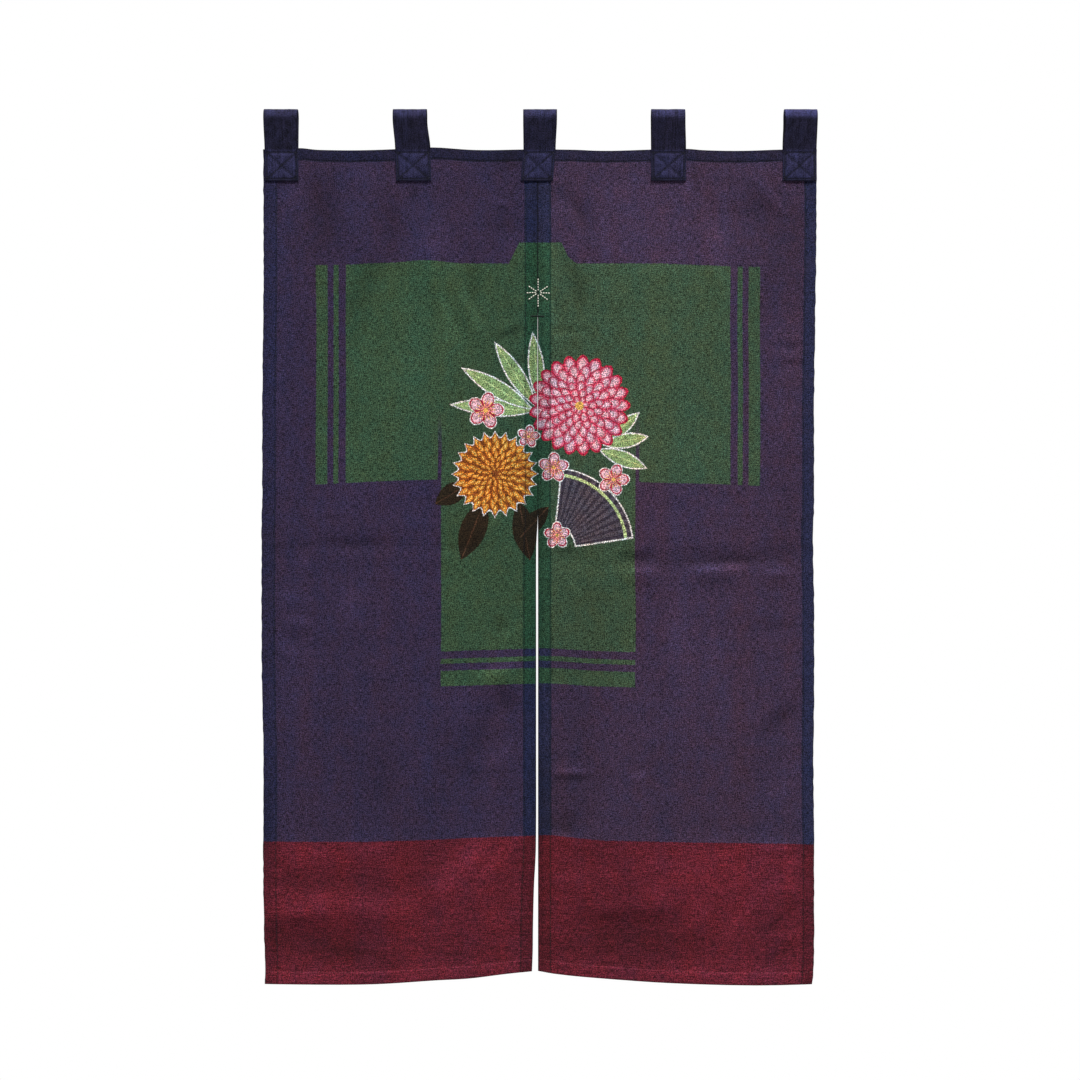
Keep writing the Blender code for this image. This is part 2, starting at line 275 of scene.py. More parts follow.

# Painted light and shade where the folds and broad hollows fall: where the cloth is painted paler,
# or darker below zero, as a share of its brightness
PAINTED_FOLD_SHADE = rows_of(
    Fold,
    # Left panel, from the heading down
    (-330, 100, 60, 24, 0, -0.17), (-378, 72, 22, 12, 0, 0.14), (-268, 35, 26, 11, 90, 0.12),
    (-192, 62, 14, 6, 0, -0.2), (-228, 120, 34, 14, 0, -0.13), (-165, 145, 36, 26, -30, 0.12),
    (-56, 105, 26, 24, 0, -0.14), (-52, 82, 18, 5, 66, 0.2), (-262, 205, 52, 19, -30, -0.15),
    (-192, 205, 66, 16, -34, 0.09), (-262, 300, 60, 13, -20, 0.07), (-145, 235, 58, 11, 24, 0.13),
    (-102, 250, 40, 7, 21, 0.1), (-100, 208, 32, 11, 0, -0.12), (-42, 280, 24, 6, 114, -0.26),
    (-35, 330, 20, 6, 135, -0.24), (-280, 606, 44, 9, 90, -0.15), (-120, 611, 40, 8, 90, -0.12),
    (-380, 608, 32, 7, 90, -0.1), (-360, 632, 13, 9, 60, 0.16), (-385, 690, 13, 12, 0, 0.14),
    (-288, 695, 30, 17, 0, 0.16), (-368, 725, 20, 7, 82, 0.14), (-375, 751, 11, 9, 0, -0.16),
    (-60, 727, 15, 8, 20, -0.15), (-47, 747, 16, 6, -40, 0.24), (-58, 796, 32, 9, -72, 0.3),
    (-50, 842, 22, 14, 40, -0.18), (-112, 850, 32, 22, 0, 0.1), (-92, 905, 60, 15, -24, -0.05),
    (-70, 812, 50, 20, -10, 0.06), (-55, 928, 28, 8, -40, 0.12), (-100, 955, 16, 8, 60, -0.13),
    (-315, 1082, 98, 17, 92, 0.2), (-245, 1072, 16, 9, 90, 0.14), (-310, 1126, 110, 15, 90, -0.13),
    (-300, 1163, 122, 17, 88, 0.2), (-362, 1170, 40, 6, 90, 0.14), (-345, 1217, 84, 25, 82, -0.21),
    (-270, 1236, 74, 19, 86, -0.15), (-405, 1215, 34, 16, 0, -0.08), (-100, 1232, 60, 16, 90, -0.1),
    (-118, 1105, 58, 17, -42, 0.36), (-60, 1088, 46, 8, -42, 0.26), (-375, 1272, 60, 9, 90, 0.13),
    (-205, 360, 150, 62, -8, 0.07), (-128, 300, 46, 12, 22, 0.1), (-402, 330, 300, 18, 0, 0.05),
    (-372, 800, 95, 26, 0, 0.08), (-418, 1020, 56, 12, 0, -0.2), (-135, 965, 150, 36, -25, -0.08),
    (-238, 958, 40, 26, 0, -0.09), (-265, 985, 105, 66, 0, -0.05),
    # Right panel, from the heading down
    (160, 115, 80, 100, 0, 0.1), (270, 150, 34, 17, 0, 0.16), (288, 205, 30, 13, 22, 0.12),
    (350, 78, 38, 42, 0, -0.14), (358, 66, 38, 8, 36, 0.22), (386, 60, 28, 6, 36, 0.16),
    (358, 205, 70, 40, 0, -0.07), (374, 150, 40, 26, 0, -0.1), (42, 132, 52, 11, 38, 0.19),
    (74, 112, 44, 12, 30, -0.15), (58, 88, 28, 15, 24, -0.1), (36, 62, 14, 16, 0, -0.12),
    (243, 45, 20, 5, 0, -0.18), (230, 55, 16, 6, 0, 0.15), (104, 130, 24, 9, 20, 0.1),
    (24, 250, 60, 8, 4, 0.1), (54, 192, 44, 14, 14, -0.13), (14, 200, 70, 9, 0, 0.1),
    (67, 215, 28, 9, 0, -0.12), (45, 617, 16, 6, 92, -0.16), (148, 626, 24, 8, 90, -0.18),
    (270, 630, 120, 10, 92, -0.22), (160, 646, 22, 5, 92, 0.16), (275, 645, 36, 6, 92, 0.24),
    (368, 649, 23, 5, 91, 0.18), (53, 668, 18, 6, 45, 0.16), (272, 661, 24, 8, 90, -0.14),
    (210, 740, 54, 13, 0, 0.1), (270, 780, 54, 13, 0, 0.1), (146, 770, 34, 9, 0, 0.08),
    (358, 728, 44, 8, 90, -0.12), (372, 875, 38, 12, -48, -0.14), (140, 796, 26, 13, 0, 0.07),
    (352, 925, 56, 18, -40, -0.08), (385, 965, 40, 12, -40, 0.08), (50, 954, 28, 5, 92, 0.28),
    (50, 966, 28, 5, 92, -0.24), (152, 962, 15, 6, 95, 0.34), (34, 1036, 28, 12, 90, -0.24),
    (280, 1036, 140, 26, 90, -0.1), (8, 985, 56, 16, 0, -0.14), (-8, 905, 24, 14, 0, 0.1),
    (180, 945, 40, 26, 0, -0.05), (43, 1058, 21, 7, 60, 0.15), (48, 1120, 27, 12, 90, 0.13),
    (290, 1112, 128, 44, 92, 0.16), (362, 1071, 25, 7, 85, 0.2), (390, 1097, 17, 7, -35, 0.16),
    (186, 1148, 19, 10, 0, 0.14), (140, 1210, 86, 40, 90, -0.25), (242, 1206, 34, 20, 90, -0.15),
    (250, 1166, 20, 6, 50, 0.15), (312, 1181, 38, 9, -35, 0.25), (372, 1136, 32, 8, 95, 0.14),
    (370, 1182, 38, 8, -48, -0.24), (376, 1207, 27, 7, 90, 0.14), (372, 1238, 26, 8, -55, -0.14),
    (300, 1262, 90, 12, 90, 0.12), (30, 1228, 34, 20, 90, -0.12),
    # Wider shades on both panels
    (-45, 12, 22, 24, 0, -0.2), (232, 1190, 34, 24, 90, 0.14), (210, 1085, 70, 24, 90, 0.06),
    (-290, 500, 60, 36, 0, 0.07),
    (-128, 270, 50, 9, 24, 0.08), (250, 470, 30, 90, 0, 0.05), (400, 150, 70, 12, 0, -0.08),
    (195, 270, 200, 95, 0, 0.05), (378, 330, 110, 22, 0, 0.06), (226, 780, 92, 18, 0, 0.08),
    (385, 560, 80, 30, 0, -0.06), (62, 940, 140, 44, 0, -0.11), (250, 965, 60, 150, 0, -0.04),
    (88, 715, 95, 62, 0, -0.08),
)

# Where the weft strays from the level, which lifts what is woven there
STRAYS = rows_of(
    Fold,
    (-215, 172, 78, 60, 90, 2.2), (120, 800, 60, 50, 90, -2.0),
)

# Random heights and drifts: size across and down in millimetres, seed and weight
DENTS = (Tone(46, 58, 3, 1.0), Tone(17, 21, 4, 0.5))
SWAY = (Tone(120, 90, 14, 1.1),)
DRIFT = (Tone(90, 130, 15, 0.9),)
STREAKS = (Tone(6, 34, 0, 1.0), Tone(13, 12, 1, 0.6))

# Colours


def screen(red, green, blue):
    """Linear colour of three 8-bit screen values."""
    shares = (value / 255 for value in (red, green, blue))
    return tuple(s / 12.92 if s <= 0.04045 else ((s + 0.055) / 1.055) ** 2.4 for s in shares)


def colour_choice(name, description, colour):
    """A colour that the user may change."""
    return FloatVectorProperty(
        name=name, description=description, subtype="COLOR", size=3, min=0, max=1, default=colour
    )


def length_choice(name, description, metres):
    """A length that the user may change."""
    return FloatProperty(name=name, description=description, default=metres, min=0, unit="LENGTH")


def share_choice(name, description, share):
    """A plain number that the user may change."""
    return FloatProperty(name=name, description=description, default=share, min=0)


class NorenCloth(bpy.types.PropertyGroup):
    """Dyes and hand of the woven cloth."""

    left_ground: colour_choice("Left ground", "Ground of the left panel", screen(53, 42, 68))
    right_ground: colour_choice("Right ground", "Ground of the right panel", screen(62, 47, 71))
    left_coat: colour_choice("Left coat", "Coat figure on the left panel", screen(54, 77, 56))
    right_coat: colour_choice("Right coat", "Coat figure on the right panel", screen(60, 80, 60))
    band: colour_choice("Band", "Woven band along the bottom", screen(91, 28, 41))
    strap: colour_choice("Strap", "Indigo of the straps", screen(33, 32, 55))
    # Painted light: the colour laid on a strap's top where it curves over the rod and on its sewn
    # box
    strap_painted_lit: colour_choice("Faded strap", "Straps where they are worn", screen(55, 55, 96))
    crumple: length_choice("Crumple", "Height of the small dents all over the cloth", 0.00035)
    pucker: length_choice("Pucker", "Height of the ripples along the sewn hems", 0.0009)
    thread_pitch: length_choice("Thread pitch", "Distance between two yarns of the weave", 0.0011)
    mottle: share_choice("Mottle", "Strength of the uneven dye", 1.0)


class NorenCoat(bpy.types.PropertyGroup):
    """Sizes of the coat figure that the two panels share."""

    centre: length_choice("Centre", "Middle of the coat, right of the seam", 0.0008)
    neck_top: length_choice("Neck top", "Distance down to the top of the neck", 0.1416)
    shoulder: length_choice("Shoulder", "Distance down to the shoulder line at the neck", 0.1743)
    neck_centre: length_choice("Neck centre", "Middle of the neck, right of the seam", 0.004)
    neck_half: length_choice("Neck half width", "Half the neck's width at its top", 0.0323)
    neck_flare: length_choice("Neck flare", "What the neck gains on each side", 0.0155)
    cuff: length_choice("Cuff", "Distance from the middle to each cuff", 0.3415)
    sleeve_foot: length_choice("Sleeve foot", "Distance down to the sleeves' lower edge", 0.5100)
    body_half: length_choice("Body half width", "Half the width of the coat's body", 0.1491)
    hem: length_choice("Hem", "Distance down to the coat's hem at the seam", 0.8200)


class NorenThread(bpy.types.PropertyGroup):
    """Thread and stitch sizes."""

    length: length_choice("Stitch", "Length of one stitch", 0.0026)
    pitch: length_choice("Pitch", "Distance from one stitch to the next", 0.0036)
    radius: length_choice("Thread radius", "Radius of the sewing thread", 0.00028)
    navy: colour_choice("Navy thread", "Thread of the hems and straps", screen(24, 24, 38))
    wine: colour_choice("Wine thread", "Thread of the bottom hem", screen(112, 52, 62))
    green: colour_choice("Green thread", "Thread of the bartack", screen(10, 26, 20))
    natural: colour_choice("Natural thread", "Thread of the small star", screen(238, 236, 220))


class NorenStage(bpy.types.PropertyGroup):
    """Camera, floor and studio light."""

    distance: length_choice("Camera distance", "Distance from the camera to the cloth", 4.0)
    frame: length_choice("Frame", "Width of the view at the cloth", 1.660)
    centre_x: length_choice("Aim right", "Place of the view's middle, right of the seam", 0.0035)
    centre_drop: length_choice("Aim down", "Place of the view's middle, below the rod", 0.6485)
    floor_drop: length_choice("Floor", "Height of the rod above the floor", 2.0)
    ambient: share_choice("Ambient", "Strength of the light from all round", 0.13)
    key: share_choice("Key light", "Power of the high lamp in front, in watts", 940.0)
    back: share_choice("Back light", "Power of the lamp behind, in watts", 75.0)


# Shape of the cloth


def ease(value):
    """Smooth step from 0 to 1."""
    value = np.clip(value, 0, 1)
    return value * value * (3 - 2 * value)


def bell(distance, width):
    """Smooth peak of height 1."""
    return np.exp(-((distance / width) ** 2))


def curve(table, place, column):
    """Value on the smooth curve through one column of a table whose first column is the place."""
    places = np.array([row[0] for row in table], float)
    values = np.array([getattr(row, column) for row in table], float)
    before = np.maximum(np.arange(len(table)) - 1, 0)
    after = np.minimum(np.arange(len(table)) + 1, len(table) - 1)
    slopes = (values[after] - values[before]) / (places[after] - places[before])
    place = np.clip(place, places[0], places[-1])
    start = np.clip(np.searchsorted(places, place, side="right") - 1, 0, len(table) - 2)
    span = places[start + 1] - places[start]
    share = (place - places[start]) / span
    leave = slopes[start] * span * share * (1 - share) ** 2
    arrive = slopes[start + 1] * span * share**2 * (share - 1)
    return values[start] + (values[start + 1] - values[start]) * ease(share) + leave + arrive


def soft_noise(across, along, seed):
    """Smooth random heights from -1 to 1, with peaks about 1 apart."""
    heights = np.random.default_rng(seed).uniform(-1, 1, (NOISE_REPEAT, NOISE_REPEAT))
    column = np.floor(across).astype(int)
    row = np.floor(along).astype(int)
    share_across = ease(across - column)
    share_along = ease(along - row)
    left, right = column % NOISE_REPEAT, (column + 1) % NOISE_REPEAT
    upper, lower = row % NOISE_REPEAT, (row + 1) % NOISE_REPEAT
    near = heights[upper, left] * (1 - share_across) + heights[upper, right] * share_across
    far = heights[lower, left] * (1 - share_across) + heights[lower, right] * share_across
    return near * (1 - share_along) + far * share_along


def uneven(tones, across, along, shift=0, seed=0):
    """Sum of smooth random heights of several sizes."""
    return sum(
        tone.weight * soft_noise(across / tone.across + shift, along / tone.along, tone.seed + seed)
        for tone in tones
    )


def fold_heights(folds, x, down):
    """How far folds lift the cloth towards the viewer."""
    total = np.zeros_like(x)
    for fold in folds:
        lean = math.radians(fold.lean)
        away_x = x - fold.x
        away_down = down - fold.down
        along = away_x * math.sin(lean) + away_down * math.cos(lean)
        across = away_x * math.cos(lean) - away_down * math.sin(lean)
        total += fold.height * np.exp(-((along / fold.reach) ** 4) - (across / fold.width) ** 2)
    return total


def heading_sag(x):
    """Sag of the heading's top edge between two loops."""
    pulls = sum(rise * bell(x - centre, reach) for centre, reach, rise in HEADING_PULLS)
    sag = -HEADING_RISE - pulls
    for left, right, depth in zip(LOOPS, LOOPS[1:], HEADING_SAG):
        share = (x - left.sewn_top) / (right.sewn_top - left.sewn_top)
        sag += depth * np.sin(math.pi * np.clip(share, 0, 1)) ** 2
    return sag


def panel_place(panel, column, row):
    """x and distance down of places on a panel's grid, and the cloth's length there."""
    slit = curve(panel.edges, row, "slit") * (1 - np.interp(row, *zip(*SLIT_HELD)))
    side = np.full_like(row, panel.side)
    waver = EDGE_WAVER * soft_noise(row / EDGE_WAVER_PITCH, side, EDGE_WAVER_SEED)
    outer = curve(panel.edges, row, "outer") + waver
    x = slit + (outer - slit) * column / PANEL_WIDTH
    length = curve(panel.bottom, x, "length")
    sag = heading_sag(x)
    return x, sag + (length - sag) * row / PANEL_LENGTH, length


def under_straps(x, down):
    """1 where a strap is sewn to the cloth, and 0 away from it."""
    covered = np.zeros_like(x)
    for loop in LOOPS:
        inside = loop.sewn_width / 2 + CLEARING - np.abs(x - loop.sewn_top)
        covered = np.maximum(covered, ease(inside / CLEARING))
    return covered * ease((SEWN_LENGTH + CLEARING - down) / CLEARING)


def panel_lift(panel, x, down, length):
    """Height of the solid panel's front above its flat heading."""
    curl = panel.curl * ease((down - SLIT_START) / (SLIT_OPEN - SLIT_START)) * bell(x, CURL_REACH)
    outer = curve(panel.edges, down, "outer")
    roll = EDGE_ROLL * np.exp(-np.abs(outer - x) / EDGE_ROLL_REACH)
    kick = HEM_KICK * ease((down - length + HEM_KICK_REACH) / HEM_KICK_REACH)
    free = ease((down - FOLDS_START) / (FOLDS_FULL - FOLDS_START))
    return (fold_heights(FOLDS + CREASES, x, down) + curl - roll + kick) * free


def panel_hems(panel, column, row):
    """Distance from each hemmed edge of a panel, with the hem's width: sides, heading, bottom."""
    return (
        (column, SEAM_HEM),
        (PANEL_WIDTH - column, panel.outer_hem),
        (row, HEADING_HEM),
        (PANEL_LENGTH - row, BOTTOM_HEM),
    )


def panel_puckers(panel, cloth, column, row, x, down):
    """Ripples that the hem stitches draw in the cloth, square to each seam."""
    across, along = x / PUCKER_PITCH, down / PUCKER_PITCH
    level = soft_noise(across, along / PUCKER_STRETCH, PUCKER_SEEDS[0])
    upright = soft_noise(across / PUCKER_STRETCH, along, PUCKER_SEEDS[1])
    ripples = (upright, upright, level, level)
    total = np.zeros_like(x)
    for (distance, hem), ripple in zip(panel_hems(panel, column, row), ripples):
        total += ripple * np.exp(-np.abs(distance - hem + STITCH_INSET) / PUCKER_REACH)
    return total * cloth.pucker / MM


def rounding(distance):
    """How far both faces draw in near an edge."""
    inward = np.clip(1 - distance / EDGE_ROUND, 0, 1)
    return EDGE_RECESS * (1 - np.sqrt(1 - inward**2))


def panel_faces(panel, cloth, column, row):
    """Points of a panel's front and back at places on its grid, in millimetres."""
    x, down, length = panel_place(panel, column, row)
    bare = 1 - under_straps(x, down)
    groove, puff, doubled, recess = np.zeros((4, *x.shape))
    for distance, hem in panel_hems(panel, column, row):
        stitch = hem - STITCH_INSET
        groove = np.maximum(groove, bell(distance - stitch, GROOVE_WIDTH))
        puff = np.maximum(puff, np.sin(math.pi * np.clip(distance / stitch, 0, 1)))
        doubled = np.maximum(doubled, 1 - ease((distance - hem) / HEM_END))
        recess = np.maximum(recess, rounding(distance))
    dents = uneven(DENTS, x, down) * cloth.crumple / MM
    relief = dents + panel_puckers(panel, cloth, column, row, x, down)
    relief += HEM_PUFF * puff - GROOVE_DEPTH * groove
    middle = panel_lift(panel, x, down, length) + HEM_THICKNESS / 2
    front = middle + relief * bare - recess
    thickness = CLOTH_THICKNESS + (HEM_THICKNESS - CLOTH_THICKNESS) * doubled
    back = middle + dents * bare - thickness
    back += (GROOVE_DEPTH * groove - HEM_PUFF * puff * doubled) * bare + recess
    drop = -ROD_TO_HEADING - down
    return np.stack([x, -front, drop], -1), np.stack([x, -back, drop], -1)


def hem_tints_and_painted_shade(panel, column, row):
    """How far each place takes the hems' darker dye, and how dark it is beyond that: painted shade
    along a stitched groove, along an edge and where a hem turns under, a darker dye on the heading,
    and a painted highlight along the bottom hem's stitched line."""
    hems = panel_hems(panel, column, row)
    distances = [distance for distance, _ in hems]
    slit_side, outer_side, heading, bottom = (
        1 - ease((distance - hem) / HEM_END) for distance, hem in hems
    )
    *lines, bottom_line = (
        bell(distance - hem + STITCH_INSET, LINE_WIDTH) for distance, hem in hems
    )
    # Painted shade along each edge and where a hem turns under
    lines += [
        share * bell(distance, PAINTED_EDGE_SHADE_WIDTH) for distance, share in zip(distances, PAINTED_EDGE_SHADES)
    ]
    lines += [
        PAINTED_TURNING_SHADE * bell(distance - turning, LINE_WIDTH)
        for distance, turning in zip(distances, (TURNING, panel.outer_turning))
    ]
    tint = np.maximum.reduce([slit_side * SLIT_TINT, outer_side * panel.outer_tint, heading])
    tint -= BOTTOM_TINT * bottom * (1 - np.minimum(tint, 1))
    line = np.maximum.reduce(lines) + HEADING_SHADE * heading
    # Painted highlight along the bottom hem's stitched line, where the line mark goes below zero
    return tint, line - bottom_line * (1 - line)


def stops_between(fixed, pitch):
    """Places at every fixed one, and between them about a pitch apart."""
    fixed = sorted(fixed)
    stops = []
    for start, end in zip(fixed, fixed[1:]):
        steps = max(1, math.ceil((end - start) / pitch))
        stops += [start + (end - start) * step / steps for step in range(steps)]
    return np.array([*stops, fixed[-1]])


def line_stops(line, side):
    """Places on a stitched line and to both sides of it."""
    return [line - side, line, line + side]


def hem_stops(hem):
    """Distances from a hemmed edge that its rounding, its stitches and its end need."""
    stitch = line_stops(hem - STITCH_INSET, STITCH_SIDE)
    return [*EDGE_STOPS, hem - HEM_BEND, *stitch, hem, hem + HEM_END]


def panel_stops(size, near_hem, far_hem):
    """Places of a panel's columns or rows."""
    far = [size - stop for stop in hem_stops(far_hem)]
    return stops_between(hem_stops(near_hem) + far, CLOTH_PITCH)


# Building a two-sided cloth


def lone_object():
    """The object that was just added."""
    piece = bpy.context.object
    if piece is None:
        raise RuntimeError("no object was added")
    return piece


def apply_modifier(piece, kind, **settings):
    """Add a modifier to a piece and apply it."""
    modifier = piece.modifiers.new(kind.lower(), kind)
    for name, value in settings.items():
        setattr(modifier, name, value)
    bpy.ops.object.modifier_apply(modifier=modifier.name)


def spread_on_sheet(values):
    """Values of a grid that runs down from the top, in the order of a grid mesh's points."""
    return values[::-1].reshape(-1, *values.shape[2:])


def add_map(mesh, name, corners):
    """Give a mesh a UV map."""
    layer = mesh.uv_layers.new(name=name)
    layer.data.foreach_set("uv", corners.astype(np.float32).ravel())


def bake_corners(corner_points, rows, columns):
    """Corners of the bake map: the front on the left, the back mirrored beside it, and the rim
    pushed a little off the front's outline."""
    count = rows * columns
    on_back = corner_points >= count
    grid_place = corner_points % count
    across = grid_place % columns / (columns - 1)
    up = grid_place // columns / (rows - 1)
    corners = BAKE_MARGIN + np.stack([BAKE_WIDTH * across, (1 - 2 * BAKE_MARGIN) * up], -1)
    is_rim = on_back.any(axis=1) & ~on_back.all(axis=1)
    is_back = on_back.all(axis=1)
    corners[is_back, :, 0] = 1 - corners[is_back, :, 0]
    level_rim = is_rim & (np.ptp(up, axis=1) == 0)
    upright_rim = is_rim & ~level_rim
    push = np.zeros_like(corners)
    for axis, (rim, share) in enumerate(((upright_rim, across), (level_rim, up))):
        push[rim, :, axis] = np.where(share[rim] > 0.5, BAKE_RIM, -BAKE_RIM)
    return corners + push * on_back[:, :, None]


def woven_piece(name, front, back, cloth_places, marks):
    """A closed cloth from the points of its two faces, given row by row from the top, with the
    cloth's own places as a UV map and named marks on its points."""
    rows, columns = front.shape[:2]
    bpy.ops.object.select_all(action="DESELECT")
    bpy.ops.mesh.primitive_grid_add(
        x_subdivisions=columns - 1, y_subdivisions=rows - 1, size=1, calc_uvs=False
    )
    piece = lone_object()
    piece.name = name
    mesh = piece.data
    mesh.name = name
    apply_modifier(piece, "SOLIDIFY", thickness=CLOTH_THICKNESS * MM, offset=-1)
    points = np.concatenate([spread_on_sheet(front), spread_on_sheet(back)]) * MM
    mesh.vertices.foreach_set("co", points.astype(np.float32).ravel())
    for mark, values in marks.items():
        layer = mesh.attributes.new(mark, "FLOAT", "POINT")
        layer.data.foreach_set("value", np.tile(spread_on_sheet(values), 2).astype(np.float32))
    corner_points = np.zeros(len(mesh.loops), np.int32)
    mesh.loops.foreach_get("vertex_index", corner_points)
    places = np.tile(spread_on_sheet(cloth_places), (2, 1)) * MM
    add_map(mesh, CLOTH_MAP, places[corner_points])
    bake_places = bake_corners(corner_points.reshape(-1, 4), rows, columns)
    add_map(mesh, BAKE_MAP, bake_places.reshape(-1, 2))
    mesh.shade_smooth()
    mesh.update()
    return piece


def keep_as(piece, slot, *nodes):
    """Let a piece ride on the part and stand for some of its nodes, which are hidden; the slot is
    not used.
    """
    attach(piece, BODY)
    if nodes:
        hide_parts(*nodes)


# Materials

VECTOR_MATH = "ShaderNodeVectorMath"
SEED_STEPS = (7.3, 3.1, 0)


def wire(tree, value, entry):
    """Link a node's input to a field or an output, or set it to a plain value."""
    if isinstance(value, Field):
        tree.links.new(value.socket, entry)
    elif isinstance(value, bpy.types.NodeSocket):
        tree.links.new(value, entry)
    elif entry.type == "RGBA":
        entry.default_value = (*value, 1)
    else:
        entry.default_value = value


def calculation(tree, kind, operation, *values):
    """A new node that works out an operation on its first inputs."""
    node = tree.nodes.new(kind)
    node.operation = operation
    for entry, value in zip(node.inputs, values):
        wire(tree, value, entry)
    return node


class Field:
    """A number that varies over a surface, so that its Math nodes read as a formula."""

    def __init__(self, tree, socket):
        self.tree = tree
        self.socket = socket

    def math(self, operation, *others, clamp=False):
        node = calculation(self.tree, "ShaderNodeMath", operation, self, *others)
        node.use_clamp = clamp
        return Field(self.tree, node.outputs[0])

    def __add__(self, other):
        return self.math("ADD", other)

    def __sub__(self, other):
        return self.math("SUBTRACT", other)

    def __mul__(self, other):
        return self.math("MULTIPLY", other)

    def __neg__(self):
        return self.math("MULTIPLY", -1)

    def __abs__(self):
        return self.math("ABSOLUTE")

    def scaled(self, factor, shift):
        return self.math("MULTIPLY_ADD", factor, shift)

    def least(self, *others):
        field = self
        for other in others:
            field = field.math("MINIMUM", other)
        return field

    def most(self, *others):
        field = self
        for other in others:
            field = field.math("MAXIMUM", other)
        return field

    def above(self, limit=0.0, soft=0.7):
        """Share from 0 to 1 of how far the field is above a limit."""
        return self.math("MULTIPLY_ADD", 1 / soft, 0.5 - limit / soft, clamp=True)


class Place:
    """Where a point is on the cloth, as the vector of x, the distance down and 1, in
    millimetres."""

    def __init__(self, tree, socket):
        self.tree = tree
        self.socket = socket

    def vector_math(self, operation, *values):
        return calculation(self.tree, VECTOR_MATH, operation, self.socket, *values)

    def form(self, across, along, shift=0.0):
        """The field across * x + along * down + shift."""
        node = self.vector_math("DOT_PRODUCT", (across, along, shift))
        return Field(self.tree, node.outputs["Value"])

    def from_point(self, x, down):
        """Distance from a point."""
        node = self.vector_math("DISTANCE", (x, down, 1))
        return Field(self.tree, node.outputs["Value"])

    def texture(self, across, along, seed, detail=2.0):
        """Noise whose blotches have a width and a height in millimetres."""
        start = tuple(seed * step for step in SEED_STEPS)
        spread = self.vector_math("MULTIPLY_ADD", (1 / across, 1 / along, 0), start)
        node = self.tree.nodes.new("ShaderNodeTexNoise")
        node.noise_dimensions = "2D"
        node.inputs["Scale"].default_value = 1
        node.inputs["Detail"].default_value = detail
        self.tree.links.new(spread.outputs[0], node.inputs["Vector"])
        return node

    def noise(self, across, along, seed, detail=2.0):
        """Noise from 0 to 1, as a field."""
        return Field(self.tree, self.texture(across, along, seed, detail).outputs[0])

    def jittered(self, amount, grain, seed):
        """The same place moved a little at random, as printed edges are."""
        shake = self.texture(grain, grain, seed, detail=1.0).outputs[1]
        centred = self.vector_math("ADD", (-amount / 2, -amount / 2, 0)).outputs[0]
        spread = (amount, amount, 0)
        node = calculation(self.tree, VECTOR_MATH, "MULTIPLY_ADD", shake, spread, centred)
        return Place(self.tree, node.outputs[0])


class Dye:
    """The colour of a cloth as one shape after another is dyed on it."""

    def __init__(self, tree, colour):
        self.tree = tree
        self.colour = colour

    def lay(self, colour, share):
        """Lay a colour over what is there, where the share is 1."""
        node = self.tree.nodes.new("ShaderNodeMix")
        node.data_type = "RGBA"
        node.clamp_factor = False
        under, over = node.inputs[6], node.inputs[7]
        wire(self.tree, share, node.inputs[0])
        wire(self.tree, self.colour, under)
        wire(self.tree, colour, over)
        self.colour = node.outputs[2]

    def scale(self, factor):
        """Multiply the colour by a field or by a vector."""
        if isinstance(factor, Field):
            node = calculation(self.tree, VECTOR_MATH, "SCALE", self.colour)
            wire(self.tree, factor, node.inputs["Scale"])
        else:
            node = calculation(self.tree, VECTOR_MATH, "MULTIPLY", self.colour, factor)
        self.colour = node.outputs[0]


def mark_of(tree, name):
    """The field of a mark on a piece's points."""
    node = tree.nodes.new("ShaderNodeAttribute")
    node.attribute_name = name
    return Field(tree, node.outputs["Fac"])


def cloth_place(tree):
    """Where a point is on the cloth, from the piece's own map."""
    node = tree.nodes.new("ShaderNodeUVMap")
    node.uv_map = CLOTH_MAP
    scale, last = (1 / MM, 1 / MM, 0), (0, 0, 1)
    scaled = calculation(tree, VECTOR_MATH, "MULTIPLY_ADD", node.outputs[0], scale, last)
    return Place(tree, scaled.outputs[0])


def matt_material(name, roughness, sheen):
    """A new matt material and its shader."""
    material = bpy.data.materials.new(name)
    material.use_nodes = True
    surface = material.node_tree.nodes["Principled BSDF"]
    surface.inputs["Roughness"].default_value = roughness
    surface.inputs["Sheen Weight"].default_value = sheen
    surface.inputs["Sheen Roughness"].default_value = 0.5
    surface.inputs["Specular IOR Level"].default_value = 0.12
    return material, material.node_tree, surface


# Uneven yarn and dye: size across and down in millimetres, seed and weight in the brightness
YARN_TONES = (
    Tone(7, 1.3, 1, 2.7),
    Tone(1.3, 7, 2, 2.2),
    Tone(1.35, 1.25, 3, 6.4),
    Tone(90, 5, 4, 0.4),
    Tone(24, 30, 5, 0.3),
)
STRAP_TONES = (Tone(1.6, 46, 5, 1.7), Tone(1.5, 1.4, 6, 4.4), Tone(9, 11, 7, 1.5))
HUE_TONES = (Tone(1.5, 1.4, 7, 1.8), Tone(19, 24, 8, 0.8), Tone(55, 700, 9, 0.9))
BAND_TONES = (Tone(34, 1.5, 41, 1.4),)
SLUBS = (Tone(28, 1.5, 22, 1.6), Tone(1.5, 28, 23, 1.2))
YARN_WANDER = (9, 9, 21)
WARP_WANDER, WEFT_WANDER = 6, -7
RED_SHIFT = (0.95, -0.05, -0.62)
DARKEST = 0.15
WEAVE_RELIEF = 0.00016
TWIST_RELIEF = 0.0001


def mottled(place, tones, strength=1.0, middle=0.5):
    """Sum of noises of several sizes, each less its middle."""
    total = None
    for tone in tones:
        noise = place.noise(tone.across, tone.along, tone.seed)
        weight = tone.weight * strength
        part = noise.scaled(weight, -weight * middle)
        total = part if total is None else total + part
    return total


def dye_unevenly(dye, place, tones, strength):
    """Vary a colour's brightness as uneven yarn does."""
    dye.scale(mottled(place, tones, strength).scaled(1, 1).most(DARKEST))


